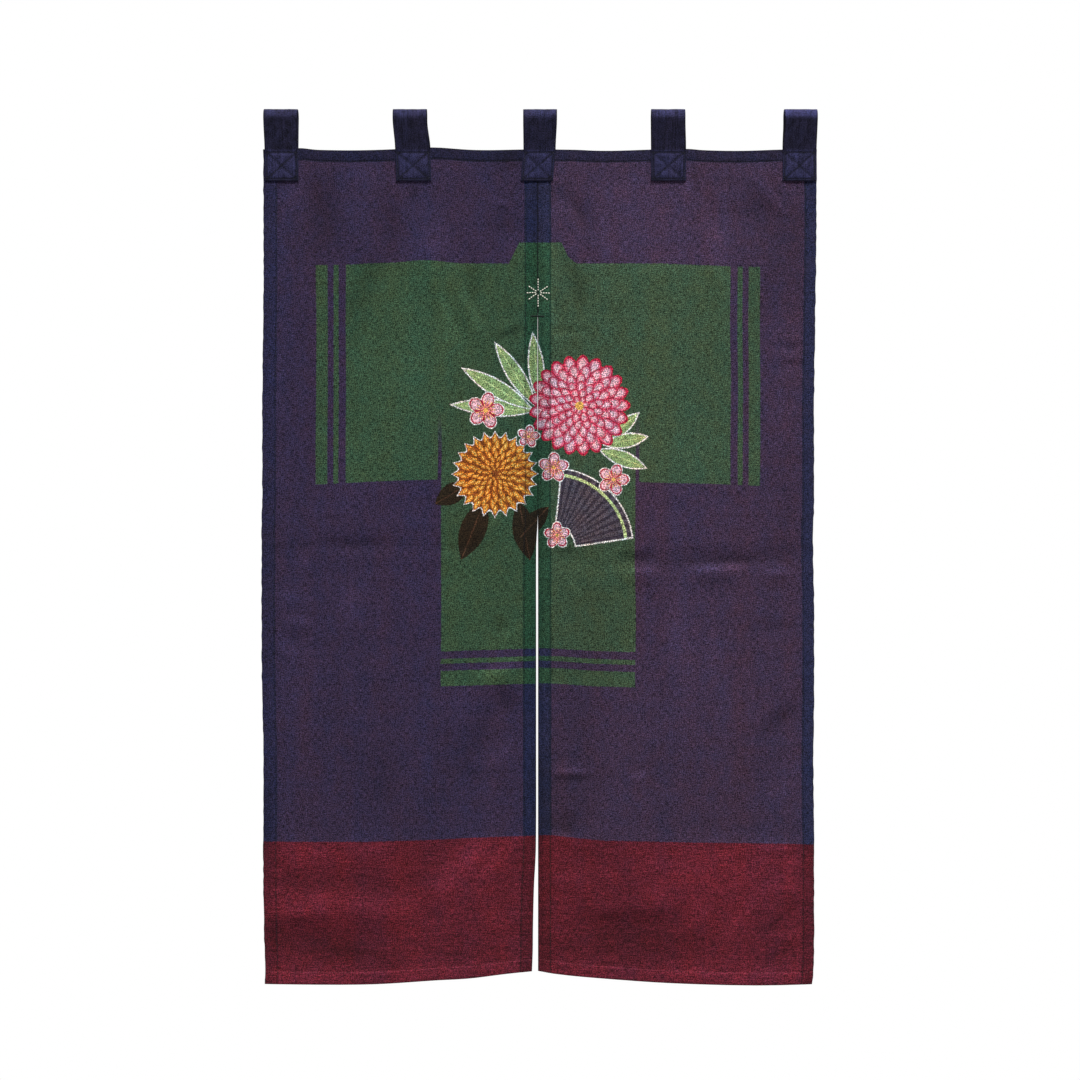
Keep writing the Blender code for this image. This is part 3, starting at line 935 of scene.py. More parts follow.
def shift_hue(dye, place, strength):
    """Let the dye drift between reddish and bluish, from yarn to yarn and in small blotches."""
    drift = mottled(place, HUE_TONES)
    shift = tuple(strength * share for share in RED_SHIFT)
    node = calculation(dye.tree, VECTOR_MATH, "MULTIPLY_ADD", drift, shift, (1, 1, 1))
    dye.scale(node.outputs[0])


def add_bump(tree, surface, height, strength, distance):
    """Let a height stand out on a surface."""
    bump = tree.nodes.new("ShaderNodeBump")
    bump.inputs["Strength"].default_value = strength
    bump.inputs["Distance"].default_value = distance
    wire(tree, height, bump.inputs["Height"])
    tree.links.new(bump.outputs["Normal"], surface.inputs["Normal"])


def weave_bump(tree, surface, place, cloth, strength):
    """Plain weave with uneven yarns, as a bump."""
    pitch = cloth.thread_pitch / MM
    wander = place.noise(*YARN_WANDER)
    turn = 2 * math.pi / pitch
    warp = (place.form(turn, 0) + wander.scaled(WARP_WANDER, 0)).math("SINE")
    weft = (place.form(0, turn) + wander.scaled(WEFT_WANDER, 0)).math("SINE")
    slubs = mottled(place, SLUBS, middle=0.0)
    add_bump(tree, surface, warp * weft + slubs, strength, WEAVE_RELIEF)


# The coat figure's stripes, as their middle and half width from the cuff or up from the hem
CUFF_STRIPES = ((22.35, 4.55), (40.25, 5.55))
HEM_STRIPES = ((29.4, 5.4), (48.05, 5.85))
ARMHOLE_TOP = 402.0
ARMHOLE_FADE = 70.0
ARMHOLE_HALF = 2.8

# The neck's right foot runs out in a slant, from x and a distance down
NECK_FOOT_X, NECK_FOOT_DOWN, NECK_FOOT_SLOPE = 43.2, 161.0, 1.2
NECK_LAP = 4

# Soft steps in the shoulder line, in the sleeves' lower edge and in the band's top edge, as side,
# distance from the seam, reach and rise
SHOULDER_STEPS = ((1, 235, 95, -4.6), (-1, 142, 44, 3.2), (-1, 198, 44, -3.4), (-1, 250, 80, -2.5))
SLEEVE_STEPS = ((-1, 130, 40, -4.8), (-1, 270, 120, 3.0))
BAND_STEPS = ((-1, 135, 255, -9.4), (1, 62, 80, -5.6), (1, 210, 400, -8.4))
SLEEVE_SLOPE = 0.0286
HEM_SLOPE = 0.022


def stripes(distance, table):
    """A field above 0 on each stripe of a table."""
    first, *others = (stripe(distance, middle, half) for middle, half in table)
    return first.most(*others)


def stripe(distance, middle, half):
    """A field above 0 within half a width of a distance."""
    return abs(distance - middle).scaled(-1, half)


def mirrored(place, centre):
    """A place whose x is the distance from an upright line."""
    join = place.tree.nodes.new("ShaderNodeCombineXYZ")
    wire(place.tree, abs(place.form(1, 0, -centre)), join.inputs[0])
    wire(place.tree, place.form(0, 1), join.inputs[1])
    join.inputs[2].default_value = 1
    return Place(place.tree, join.outputs[0])


def stepped(place, line, steps):
    """A line's field with soft steps in it."""
    for side, middle, reach, rise in steps:
        line += place.form(side, 0).above(middle, reach).scaled(rise, 0)
    return line


def coat_share(place, coat):
    """Share of the coat figure's dye: a neck, two sleeves and a body, less their stripes."""
    half = mirrored(place, coat.centre / MM)
    collar = mirrored(place, coat.neck_centre / MM)
    neck_top, shoulder, neck_half = coat.neck_top / MM, coat.shoulder / MM, coat.neck_half / MM
    flare = coat.neck_flare / (coat.shoulder - coat.neck_top)
    cuff, foot, body, hem = (
        size / MM for size in (coat.cuff, coat.sleeve_foot, coat.body_half, coat.hem)
    )
    above_shoulder = place.form(0, -1, shoulder + NECK_LAP)
    neck = place.form(0, 1, -neck_top).least(
        collar.form(-1, flare, neck_half - flare * neck_top), above_shoulder
    )
    slant = place.form(-1, NECK_FOOT_SLOPE, NECK_FOOT_X - NECK_FOOT_SLOPE * NECK_FOOT_DOWN)
    neck_foot = slant.least(place.form(0, 1, -NECK_FOOT_DOWN), place.form(1, 0), above_shoulder)
    above_foot = half.form(SLEEVE_SLOPE, -1, foot - SLEEVE_SLOPE * body)
    sleeves = stepped(place, above_foot, SLEEVE_STEPS).least(half.form(-1, 0, cuff))
    above_hem = half.form(HEM_SLOPE, -1, hem)
    trunk = half.form(-1, 0, body).least(above_hem)
    below_shoulder = stepped(place, place.form(0, 1, -shoulder), SHOULDER_STEPS)
    figure = neck.most(neck_foot, below_shoulder.least(sleeves.most(trunk)))
    cut = stripes(half.form(-1, 0, cuff), CUFF_STRIPES).most(stripes(above_hem, HEM_STRIPES))
    armhole = stripe(half.form(1, 0), body + ARMHOLE_HALF, ARMHOLE_HALF).above()
    armhole *= half.form(0, 1).above(ARMHOLE_TOP + ARMHOLE_FADE / 2, ARMHOLE_FADE)
    return figure.least(-cut).above() * armhole.scaled(-1, 1)


# The spray of flowers and leaves, an arrangement of common motifs
SPRAY_LEFT, SPRAY_RIGHT, SPRAY_TOP, SPRAY_FOOT = -158, 172, 268, 652
CRIMSON = screen(178, 32, 62)
PINK = screen(224, 178, 190)
ROSE = screen(206, 96, 122)
BROWN = screen(128, 66, 28)
ORANGE = screen(214, 130, 42)
OFF_WHITE = screen(226, 222, 220)
LEAF_GREEN = screen(138, 163, 108)
LEAF_VEIN = screen(186, 200, 140)
SLATE = screen(84, 75, 85)
SLATE_DEEP = screen(58, 50, 62)
OLIVE = screen(40, 31, 20)
OLIVE_VEIN = screen(70, 48, 34)
GOLD = screen(226, 176, 92)

BAMBOO = rows_of(
    Leaf,
    (-8, 400, -86, 122, 23), (-10, 396, -60, 118, 23), (-4, 390, -33, 108, 22),
    (4, 386, -6, 102, 21), (104, 446, 50, 64, 18), (102, 452, 80, 66, 19), (96, 460, 112, 74, 20),
)
DARK_LEAVES = rows_of(
    Leaf,
    (-80, 536, 202, 100, 40), (-104, 512, 240, 62, 32), (-30, 540, 168, 92, 36),
    (16, 548, 222, 64, 28),
)
BLOSSOMS = rows_of(
    Flower,
    (-80, 400, 28, 10), (24, 488, 23, 36), (116, 506, 24, 0), (-14, 440, 17, 20), (30, 592, 20, 50),
)
CHRYSANTHEMUM = Flower(64, 392, 74, 0)
CHRYSANTHEMUM_RINGS = rows_of(
    Ring,
    (1.0, 21, 0.0, 10), (0.83, 19, 0.7, 9), (0.66, 17, 0.3, 8), (0.50, 14, 1.0, 7),
    (0.35, 10, 0.2, 5), (0.20, 7, 0.6, 4),
)
DAHLIA = Flower(-66, 498, 64, 0)
DAHLIA_RINGS = rows_of(
    Ring,
    (1.0, 24, 0.0, 10), (0.86, 22, 0.8, 9), (0.72, 20, 0.3, 8), (0.58, 18, 1.1, 7),
    (0.45, 15, 0.5, 6), (0.32, 11, 0.9, 5), (0.19, 7, 0.0, 4),
)
FAN = Flower(24, 612, 122, 44)
FAN_INNER = 36
FAN_HALF = 0.66
FAN_RIBS = 28
FAN_TRIM, FAN_TRIM_HALF = 9, 2.2
OUTLINE = 2.2
VEIN_HALF = 0.9

# Parts of a bloom and of a blossom, as shares of the radius
BLOOM_HEART = 0.09
BLOSSOM_DEPTH = 0.42
BLOSSOM_FLUSH = 0.42
BLOSSOM_STAMENS = 0.56
BLOSSOM_HEART = 0.13
STAMENS = 15
STAMEN_TURN = 0.4

# Borders as shares of an outline, and edges as a limit, some with a softness
BLOOM_BORDER, BLOSSOM_BORDER = 1.6, 0.8
GAP_EDGE, PETAL_EDGE, TIP_EDGE, BLOSSOM_EDGE = -1.4, 0.4, (3.2, 5), 2.4
PETAL_WAVE, TIP_WAVE, BLOSSOM_WAVE = (0.22, 0.14), (0.72, 0.2), (0.34, 0.12)
SPOKE_WAVE, FAN_WAVE = (0.93, 0.06), (0.75, 0.3)


def leaf_field(place, leaf):
    """A field above 0 inside a leaf, and the distance across it."""
    turn = math.radians(leaf.turn)
    sine, cosine = math.sin(turn), math.cos(turn)
    start = (leaf.down * cosine - leaf.x * sine) / leaf.length
    along = place.form(sine / leaf.length, -cosine / leaf.length, start)
    across = abs(place.form(cosine, sine, -leaf.x * cosine - leaf.down * sine))
    bulge = along * along.scaled(-1, 1)
    return bulge.scaled(2 * leaf.width, 0) - across, across


def lay_leaf(dye, place, leaf, outline, fill, vein):
    """Dye one pointed leaf with its outline and vein."""
    inside, across = leaf_field(place, leaf)
    outside = inside.above(-OUTLINE if outline else 0)
    dye.lay(outline or fill, outside)
    dye.lay(fill, inside.above())
    dye.lay(vein, across.scaled(-1, VEIN_HALF).least(inside).above())
    return outside


def around(place, flower):
    """Distance from a flower's heart and angle round it."""
    level, upright = place.form(1, 0, -flower.x), place.form(0, 1, -flower.down)
    return place.from_point(flower.x, flower.down), upright.math("ARCTAN2", level)


def petal_ring(distance, angle, radius, ring, pointed):
    """A field above 0 inside a ring of petals, and one that is near 0 between its petals."""
    wave = abs(angle.scaled(ring.petals / 2, ring.turn).math("SINE" if pointed else "COSINE"))
    reach = radius * ring.share
    if pointed:
        edge = wave.scaled(-ring.depth, reach)
        return edge - distance, wave.scaled(-1, 1)
    edge = wave.scaled(ring.depth, reach - ring.depth)
    return edge - distance, wave


def lay_bloom(dye, place, flower, rings, border, colours, pointed):
    """Dye a many-petalled bloom, ring over ring from the outside in."""
    gap, petal, tip, heart = colours
    distance, angle = around(place, flower)
    outer_ring = petal_ring(distance, angle, flower.radius, rings[0], pointed)[0]
    outside = outer_ring.above(-OUTLINE * BLOOM_BORDER)
    dye.lay(border, outside)
    for ring in rings:
        inside, between = petal_ring(distance, angle, flower.radius, ring, pointed)
        dye.lay(gap, inside.above(GAP_EDGE))
        petal_share = inside.above(PETAL_EDGE) * between.above(*PETAL_WAVE)
        dye.lay(petal, petal_share)
        dye.lay(tip, petal_share * between.above(*TIP_WAVE) * inside.above(*TIP_EDGE))
    dye.lay(heart, distance.scaled(-1, flower.radius * BLOOM_HEART).above())
    return outside


def lay_blossom(dye, place, blossom):
    """Dye a five-petalled blossom with its outline, its heart and a ring of stamens."""
    distance, angle = around(place, blossom)
    ring = Ring(1.0, 5, math.radians(blossom.turn), blossom.radius * BLOSSOM_DEPTH)
    inside, between = petal_ring(distance, angle, blossom.radius, ring, False)
    outside = inside.above(-OUTLINE * BLOSSOM_BORDER)
    dye.lay(OFF_WHITE, outside)
    dye.lay(CRIMSON, inside.above())
    dye.lay(PINK, inside.above(BLOSSOM_EDGE) * between.above(*BLOSSOM_WAVE))
    flush = distance.scaled(-1, blossom.radius * BLOSSOM_FLUSH).above(0, 3)
    dye.lay(ROSE, flush * between.above(0.5))
    spokes = abs(angle.scaled(STAMENS / 2, STAMEN_TURN).math("COSINE")).above(*SPOKE_WAVE)
    stamens = distance.scaled(-1, blossom.radius * BLOSSOM_STAMENS).above() * spokes
    heart = distance.scaled(-1, blossom.radius * BLOSSOM_HEART).above()
    dye.lay(GOLD, stamens.most(heart))
    return outside


def lay_fan(dye, place):
    """Dye an open folding fan with its ribs and outline."""
    turn = math.radians(FAN.turn)
    distance = place.from_point(FAN.x, FAN.down)
    sine, cosine = math.sin(turn), math.cos(turn)
    across = place.form(cosine, sine, -FAN.x * cosine - FAN.down * sine)
    along = place.form(sine, -cosine, FAN.down * cosine - FAN.x * sine)
    angle = across.math("ARCTAN2", along)
    sides = abs(angle).scaled(-1, FAN_HALF) * distance
    leaf = distance.scaled(-1, FAN.radius).least(distance.scaled(1, -FAN_INNER), sides)
    folds = abs(angle.scaled(FAN_RIBS, 0).math("SINE"))
    outside = leaf.above(-OUTLINE)
    dye.lay(OFF_WHITE, outside)
    dye.lay(SLATE, leaf.above())
    dye.lay(SLATE_DEEP, leaf.above() * folds.above(*FAN_WAVE))
    trim = stripe(distance, FAN.radius - FAN_TRIM, FAN_TRIM_HALF).least(sides).above()
    dye.lay(LEAF_VEIN, trim)
    return outside


def lay_spray(dye, place):
    """Dye the whole spray, from what lies beneath to what lies on top, and return the share of
    the cloth that it covers."""
    covers = [lay_leaf(dye, place, leaf, None, OLIVE, OLIVE_VEIN) for leaf in DARK_LEAVES]
    covers.append(lay_fan(dye, place))
    covers += [lay_leaf(dye, place, leaf, OFF_WHITE, LEAF_GREEN, LEAF_VEIN) for leaf in BAMBOO]
    brown_and_orange = (BROWN, ORANGE, GOLD, BROWN)
    covers.append(lay_bloom(dye, place, DAHLIA, DAHLIA_RINGS, OFF_WHITE, brown_and_orange, True))
    crimson_and_pink = (CRIMSON, ROSE, PINK, GOLD)
    covers.append(
        lay_bloom(dye, place, CHRYSANTHEMUM, CHRYSANTHEMUM_RINGS, CRIMSON, crimson_and_pink, False)
    )
    covers += [lay_blossom(dye, place, blossom) for blossom in BLOSSOMS]
    return covers[0].most(*covers[1:])


# The band's top edge, and what the hems' second layer does to each dye
BAND_DOWN = 1053.0
BAND_SOFTNESS = 1.2
GROUND_HEM_TINT = (0.57, 0.82, 0.95)
COAT_HEM_TINT = (0.64, 0.87, 0.86)
BAND_HEM_TINT = (0.88, 0.86, 0.84)
SPRAY_HEM_TINT = (0.85, 0.85, 0.85)
# How dark the painted shade along stitched grooves and edges is on the panels and on the straps,
# and how strong the painted light and shade along the folds is
PAINTED_LINE_SHADE = 0.5
STRAP_PAINTED_LINE_SHADE = 0.8
PAINTED_FOLD_SHADE_STRENGTH = 1.5

# How much print shakes, with the shake's grain and seed, then roughness and sheen of the cloth,
# and how strongly its hue drifts and its weave stands out on the panels and on the straps
PRINT_SHAKE = (1.9, 2.6, 31)
CLOTH_FINISH = (0.9, 0.05)
THREAD_FINISH = (0.75, 0.2)
PANEL_HUE, STRAP_HUE = 0.5, 0.25
PANEL_WEAVE, STRAP_WEAVE = 0.55, 0.5
THREAD_MOTTLE = 0.5


def panel_material(name, ground, coat_colour, settings, with_spray):
    """Woven cloth of one panel, with its coat figure, its band and, on request, the spray."""
    cloth, coat = settings.noren_cloth, settings.noren_coat
    material, tree, surface = matt_material(name, *CLOTH_FINISH)
    place = cloth_place(tree)
    printed = place.jittered(*PRINT_SHAKE)
    dye = Dye(tree, ground)
    tint = Dye(tree, GROUND_HEM_TINT)
    figure = coat_share(printed, coat)
    dye.lay(coat_colour, figure)
    tint.lay(COAT_HEM_TINT, figure)
    if with_spray:
        tint.lay(SPRAY_HEM_TINT, lay_spray(dye, printed))
    band = stepped(printed, printed.form(0, 1, -BAND_DOWN), BAND_STEPS).above(0, BAND_SOFTNESS)
    dye.lay(cloth.band, band)
    tint.lay(BAND_HEM_TINT, band)
    tint.lay((1, 1, 1), mark_of(tree, "hem").scaled(-1, 1))
    dye.scale(tint.colour)
    shift_hue(dye, place, PANEL_HUE * cloth.mottle)
    dye_unevenly(dye, place, YARN_TONES, cloth.mottle)
    dye.scale((mottled(place, BAND_TONES, cloth.mottle) * band).scaled(1, 1))
    # Painted shade along stitched grooves, hem turnings and edges, and a painted highlight along
    # the bottom hem's stitched line
    lines = mark_of(tree, "line").scaled(-PAINTED_LINE_SHADE, 1)
    # Painted light on the fold ridges and painted shade in their troughs and in broad hollows
    dye.scale(lines * mark_of(tree, "wear").scaled(PAINTED_FOLD_SHADE_STRENGTH, 1))
    tree.links.new(dye.colour, surface.inputs["Base Color"])
    weave_bump(tree, surface, place, cloth, PANEL_WEAVE)
    return material


def strap_material(name, settings):
    """Indigo strap cloth, with painted light on its top where it curves over the rod and on its
    sewn ends, and painted shade along its stitched lines, sides and ends.
    """
    cloth = settings.noren_cloth
    material, tree, surface = matt_material(name, *CLOTH_FINISH)
    place = cloth_place(tree)
    dye = Dye(tree, cloth.strap)
    # Painted light on the strap's top over the rod and on its sewn box
    dye.lay(cloth.strap_painted_lit, mark_of(tree, "fade"))
    shift_hue(dye, place, STRAP_HUE * cloth.mottle)
    dye_unevenly(dye, place, STRAP_TONES, cloth.mottle)
    # Painted shade along the box's stitched grooves and the strap's sides and ends
    dye.scale(mark_of(tree, "line").scaled(-STRAP_PAINTED_LINE_SHADE, 1))
    tree.links.new(dye.colour, surface.inputs["Base Color"])
    weave_bump(tree, surface, place, cloth, STRAP_WEAVE)
    return material


def thread_material(name, colour):
    """Twisted cotton thread."""
    material, tree, surface = matt_material(name, *THREAD_FINISH)
    coordinates = tree.nodes.new("ShaderNodeTexCoord")
    twist = tree.nodes.new("ShaderNodeTexWave")
    twist.bands_direction = "DIAGONAL"
    twist.inputs["Scale"].default_value = 900
    twist.inputs["Distortion"].default_value = 1.5
    tree.links.new(coordinates.outputs["Object"], twist.inputs["Vector"])
    dye = Dye(tree, colour)
    dye.scale(Field(tree, twist.outputs["Fac"]).scaled(THREAD_MOTTLE, 1 - THREAD_MOTTLE / 2))
    tree.links.new(dye.colour, surface.inputs["Base Color"])
    add_bump(tree, surface, twist.outputs["Fac"], 0.4, TWIST_RELIEF)
    return material


# Panels


def grain_places(x, down):
    """The cloth's own places, a little off the straight, so that weave and print waver."""
    drift = uneven(DRIFT, x, down) + fold_heights(STRAYS, x, down)
    return np.stack([x + uneven(SWAY, x, down), down + drift], -1)


def make_panel(panel, settings):
    """One woven panel, hemmed all round, over its solid."""
    columns = panel_stops(PANEL_WIDTH, SEAM_HEM, panel.outer_hem)
    if panel.side < 0:
        columns = columns[::-1]
    rows = panel_stops(PANEL_LENGTH, HEADING_HEM, BOTTOM_HEM)
    column, row = np.meshgrid(columns, rows)
    cloth = settings.noren_cloth
    front, back = panel_faces(panel, cloth, column, row)
    tint, line = hem_tints_and_painted_shade(panel, column, row)
    x, down, _ = panel_place(panel, column, row)
    # Marks: the hems' tint, painted shade along lines and edges, and painted light and shade along
    # the folds
    marks = {"hem": tint, "line": line, "wear": fold_heights(PAINTED_FOLD_SHADE, x, down)}
    piece = woven_piece(panel.name + "_cloth", front, back, grain_places(x, down), marks)
    if panel.side < 0:
        dyes = (cloth.left_ground, cloth.left_coat)
    else:
        dyes = (cloth.right_ground, cloth.right_coat)
    for kind, with_spray in (("_weave", False), ("_spray", True)):
        piece.data.materials.append(panel_material(panel.name + kind, *dyes, settings, with_spray))
    centres = np.zeros(len(piece.data.polygons) * 3, np.float32)
    piece.data.polygons.foreach_get("center", centres)
    centres = centres.reshape(-1, 3) / MM
    face_down = -centres[:, 2] - ROD_TO_HEADING
    in_width = (centres[:, 0] > SPRAY_LEFT) & (centres[:, 0] < SPRAY_RIGHT)
    in_length = (face_down > SPRAY_TOP) & (face_down < SPRAY_FOOT)
    piece.data.polygons.foreach_set("material_index", (in_width & in_length).astype(np.int32))
    keep_as(piece, panel.name + "_cotton", panel.name)


# Straps


def strap_path():
    """Closely set points of a strap's inner face, from the back's sewn end over the rod to the
    front's, as distance along it, y and z."""
    foot_y = HEM_THICKNESS / 2 + GAP
    reach = math.hypot(foot_y, ROD_TO_HEADING)
    lean = math.asin(ROD_RADIUS / reach) - math.atan2(foot_y, ROD_TO_HEADING)
    arc = np.linspace(-lean, math.pi + lean, ARC_STOPS)
    y = np.concatenate([[foot_y, foot_y], ROD_RADIUS * np.cos(arc), [-foot_y, -foot_y]])
    ends = [-ROD_TO_HEADING - SEWN_LENGTH, -ROD_TO_HEADING]
    z = np.concatenate([ends, ROD_RADIUS * np.sin(arc), ends[::-1]])
    along = np.concatenate([[0], np.cumsum(np.hypot(np.diff(y), np.diff(z)))])
    return along, y, z


def strap_course(along):
    """y and z of a strap's inner face at distances along it, and of the way out from it."""
    path, *sides = strap_path()
    fine = np.linspace(0, path[-1], PATH_STOPS)
    blur = np.ones(PATH_BLUR) / PATH_BLUR
    steps = []
    for side in sides:
        step = np.gradient(np.interp(fine, path, side))
        steps.append(np.convolve(np.pad(step, PATH_BLUR // 2, "edge"), blur, "valid"))
    size = np.hypot(*steps)
    out = [np.interp(along, fine, step / size) for step in (steps[1], -steps[0])]
    return *(np.interp(along, path, side) for side in sides), *out


def panels_under(loop):
    """The panels that a loop is sewn to."""
    reach = loop.sewn_width / 2
    return [panel for panel in PANELS if panel.side * loop.sewn_top > -reach]


def strap_line(loop, height):
    """Centre and width of a loop at heights above the rod's axis."""
    share = ease(-height / ROD_TO_HEADING)
    centre = loop.top + (loop.sewn_top - loop.top) * share
    width = loop.top_width + (loop.sewn_width - loop.top_width) * share
    sewn = np.clip((-height - ROD_TO_HEADING) / SEWN_LENGTH, 0, 1)
    return centre + (loop.sewn_end - loop.sewn_top) * sewn, width


def box_line_distance(u, v, half_width):
    """Distance of places on a strap's sewn end from its crossed box of stitches. u is from the
    strap's middle and v is up from its end."""
    side = half_width - BOX_INSET
    low, high = BOX_INSET, BOX_TOP
    beside = np.abs(np.abs(u) - side)
    above = np.abs(v - low)
    below = np.abs(v - high)
    height = high - low
    diagonal = math.hypot(2 * side, height)
    rise = (v - (low + high) / 2) * 2 * side
    slanting = np.minimum(np.abs(rise - u * height), np.abs(rise + u * height)) / diagonal
    within = (np.abs(u) < side) & (v > low) & (v < high)
    crossed = np.where(within, slanting, beside)
    return np.minimum.reduce([beside, above, below, crossed])


def strap_stops(total):
    """Places of a strap's rows along it."""
    box = line_stops(BOX_INSET, BOX_SIDE) + line_stops(BOX_TOP, BOX_SIDE)
    near = [*EDGE_STOPS, *box, SEWN_LENGTH]
    return stops_between(near + [total - stop for stop in near], STRAP_PITCH)


def strap_faces(loop, seed):
    """Points of a strap's outer and inner face, its own places and its marks."""
    total = strap_path()[0][-1]
    half = loop.sewn_width / 2
    stops = [half - stop for stop in (*EDGE_STOPS, *line_stops(BOX_INSET, BOX_SIDE))]
    columns = stops_between(stops + [-stop for stop in stops], STRAP_PITCH)
    u, along = np.meshgrid(columns, strap_stops(total))
    y, z, out_y, out_z = strap_course(along)
    from_end = np.minimum(along, total - along)
    from_side = half - np.abs(u)
    recess = rounding(np.minimum(from_end, from_side))
    sewn = ease((SEWN_LENGTH + SEWN_EASE / 2 - from_end) / SEWN_EASE)
    distance = box_line_distance(u, from_end, half)
    cushion = BOX_PUFF * (1 - bell(distance, BOX_PUFF_REACH))
    cushion *= np.clip(from_side / SIDE_TAPER, 0, 1)
    # Painted shade along the box's stitched grooves, along the strap's sides and at its ends
    line = bell(distance, BOX_LINE_WIDTH) * sewn
    painted_side_shade = PAINTED_SIDE_SHADE * bell(from_side, PAINTED_EDGE_SHADE_WIDTH)
    edge = np.maximum(painted_side_shade, bell(from_end, PAINTED_EDGE_SHADE_WIDTH))
    streaks = STREAK_HEIGHT * uneven(STREAKS, u, along, STREAK_SHIFT, seed)
    relief = (cushion - GROOVE_DEPTH * line) * sewn + streaks * (1 - SEWN_CALM * sewn)
    outer = STRAP_THICKNESS + relief - recess
    centre, width = strap_line(loop, z)
    x = centre + u * width / loop.sewn_width
    outer_points = np.stack([x, y + out_y * outer, z + out_z * outer], -1)
    inner_points = np.stack([x, y + out_y * recess, z + out_z * recess], -1)
    # Painted light on the top where the strap curves over the rod, and on the puffed sewn box
    top_share = ease((PAINTED_LIGHT_BAND - (ROD_RADIUS - z)) / PAINTED_LIGHT_EASE)
    fade = np.maximum(top_share * loop.fade, sewn * SEWN_PAINTED_LIGHT)
    places = np.stack([u + loop.top, along + STRAP_APART * seed], -1)
    return outer_points, inner_points, places, {"line": np.maximum(line, edge), "fade": fade}


def make_strap(loop, number, material):
    """One folded strap, over its solid."""
    outer, inner, places, marks = strap_faces(loop, number + STRAP_SEED)
    piece = woven_piece(loop.name + "_strap", outer, inner, places, marks)
    piece.data.materials.append(material)
    keep_as(piece, "loop_cotton", loop.name)


# Stitches

STITCH_RAISE, STITCH_DIP = 0.4, 1.6
FACES = ((0, -1), (1, 1))
SEAM_LENGTH = 1260.0
SEAM_STITCH_HALF = 1.3
SEAM_STITCH_SLANT = 0.7
SEAM_STITCH_PITCH = 2.6
SEAM_SEWN_FROM = 50.0
BARTACK_DOWN = 256.0
BARTACK_HALF = 10.4
BARTACK_HEIGHT = 3.0
BARTACK_PITCH = 0.62
BARTACK_THREADS = 2

# The small star, as rays of running stitches round its middle, in degrees from upright
STAR_X, STAR_DOWN = 0.6, 220.0
STAR_RAYS = (
    Ray(0, 22.0),
    Ray(180, 22.0),
    Ray(90, 18.0),
    Ray(270, 18.0),
    Ray(55, 19.0),
    Ray(125, 19.0),
    Ray(235, 19.0),
    Ray(305, 19.0),
)
STAR_START = 3.0
STAR_STITCH = 3.3
STAR_GAP = 0.6
STAR_SLACK = 0.01
STAR_THREADS = 3


def stitch_shape():
    """Points and faces of one stitch: a bead along X, 1 long and 1 in radius."""
    bpy.ops.object.select_all(action="DESELECT")
    bpy.ops.mesh.primitive_uv_sphere_add(
        segments=6, ring_count=4, radius=1, rotation=(0, math.pi / 2, 0)
    )
    bead = lone_object()
    bpy.ops.object.transform_apply(location=False, rotation=True, scale=False)
    bpy.ops.object.mode_set(mode="EDIT")
    bpy.ops.mesh.select_all(action="SELECT")
    bpy.ops.transform.resize(value=(0.5, 1, 1))
    bpy.ops.object.mode_set(mode="OBJECT")
    points = np.array([vertex.co for vertex in bead.data.vertices], float)
    faces = [tuple(face.vertices) for face in bead.data.polygons]
    bpy.data.objects.remove(bead, do_unlink=True)
    return points, faces


def run_of(starts, ends, way):
    """A run of stitches: starts and ends in millimetres, and the way out of the cloth, with way
    -1 in front and 1 behind."""
    return starts, ends, np.tile((0.0, way, 0.0), (len(starts), 1))


def sew(name, slot, runs, settings, material, threads=1):
    """A piece of stitches from runs of them, as thick as some threads."""
    points, faces = stitch_shape()
    starts, ends, outward = (np.concatenate(part) for part in zip(*runs))
    radius = settings.noren_thread.radius / MM * threads
    run = ends - starts
    length = np.linalg.norm(run, axis=1, keepdims=True)
    direction = run / length
    side = np.cross(outward, direction)
    side /= np.linalg.norm(side, axis=1, keepdims=True)
    up = np.cross(direction, side)
    middle = (starts + ends) / 2
    along, across, high = points.T
    rise = high * radius + radius * STITCH_RAISE - radius * STITCH_DIP * (2 * along) ** 4
    placed = middle[:, None] + direction[:, None] * (along[:, None] * length[:, None])
    placed = placed + side[:, None] * (across[:, None] * radius) + up[:, None] * rise[:, None]
    all_faces = [
        tuple(corner + len(points) * number for corner in face)
        for number in range(len(starts))
        for face in faces
    ]
    mesh = bpy.data.meshes.new(name)
    mesh.from_pydata((placed.reshape(-1, 3) * MM).tolist(), [], all_faces)
    mesh.shade_smooth()
    mesh.materials.append(material)
    piece = bpy.data.objects.new(name, mesh)
    bpy.context.scene.collection.objects.link(piece)
    keep_as(piece, slot)


def stitch_ends(length, thread):
    """Starts and ends of the stitches along a line of a length in millimetres."""
    pitch = thread.pitch / MM
    count = max(1, round(length / pitch))
    middles = (np.arange(count) + 0.5) * length / count
    half = thread.length / MM / 2
    return middles - half, middles + half


def hem_runs(panel, settings, lines):
    """Runs of stitches on both faces along lines on a panel's grid, where no strap covers it."""
    runs = []
    for line in lines:
        ends = [(column, np.clip(row, 0, PANEL_LENGTH)) for column, row in line]
        first, last = (panel_faces(panel, settings.noren_cloth, *end) for end in ends)
        x, down, _ = panel_place(panel, *ends[0])
        bare = under_straps(x, down) < COVERED
        runs += [run_of(first[face][bare], last[face][bare], way) for face, way in FACES]
    return runs


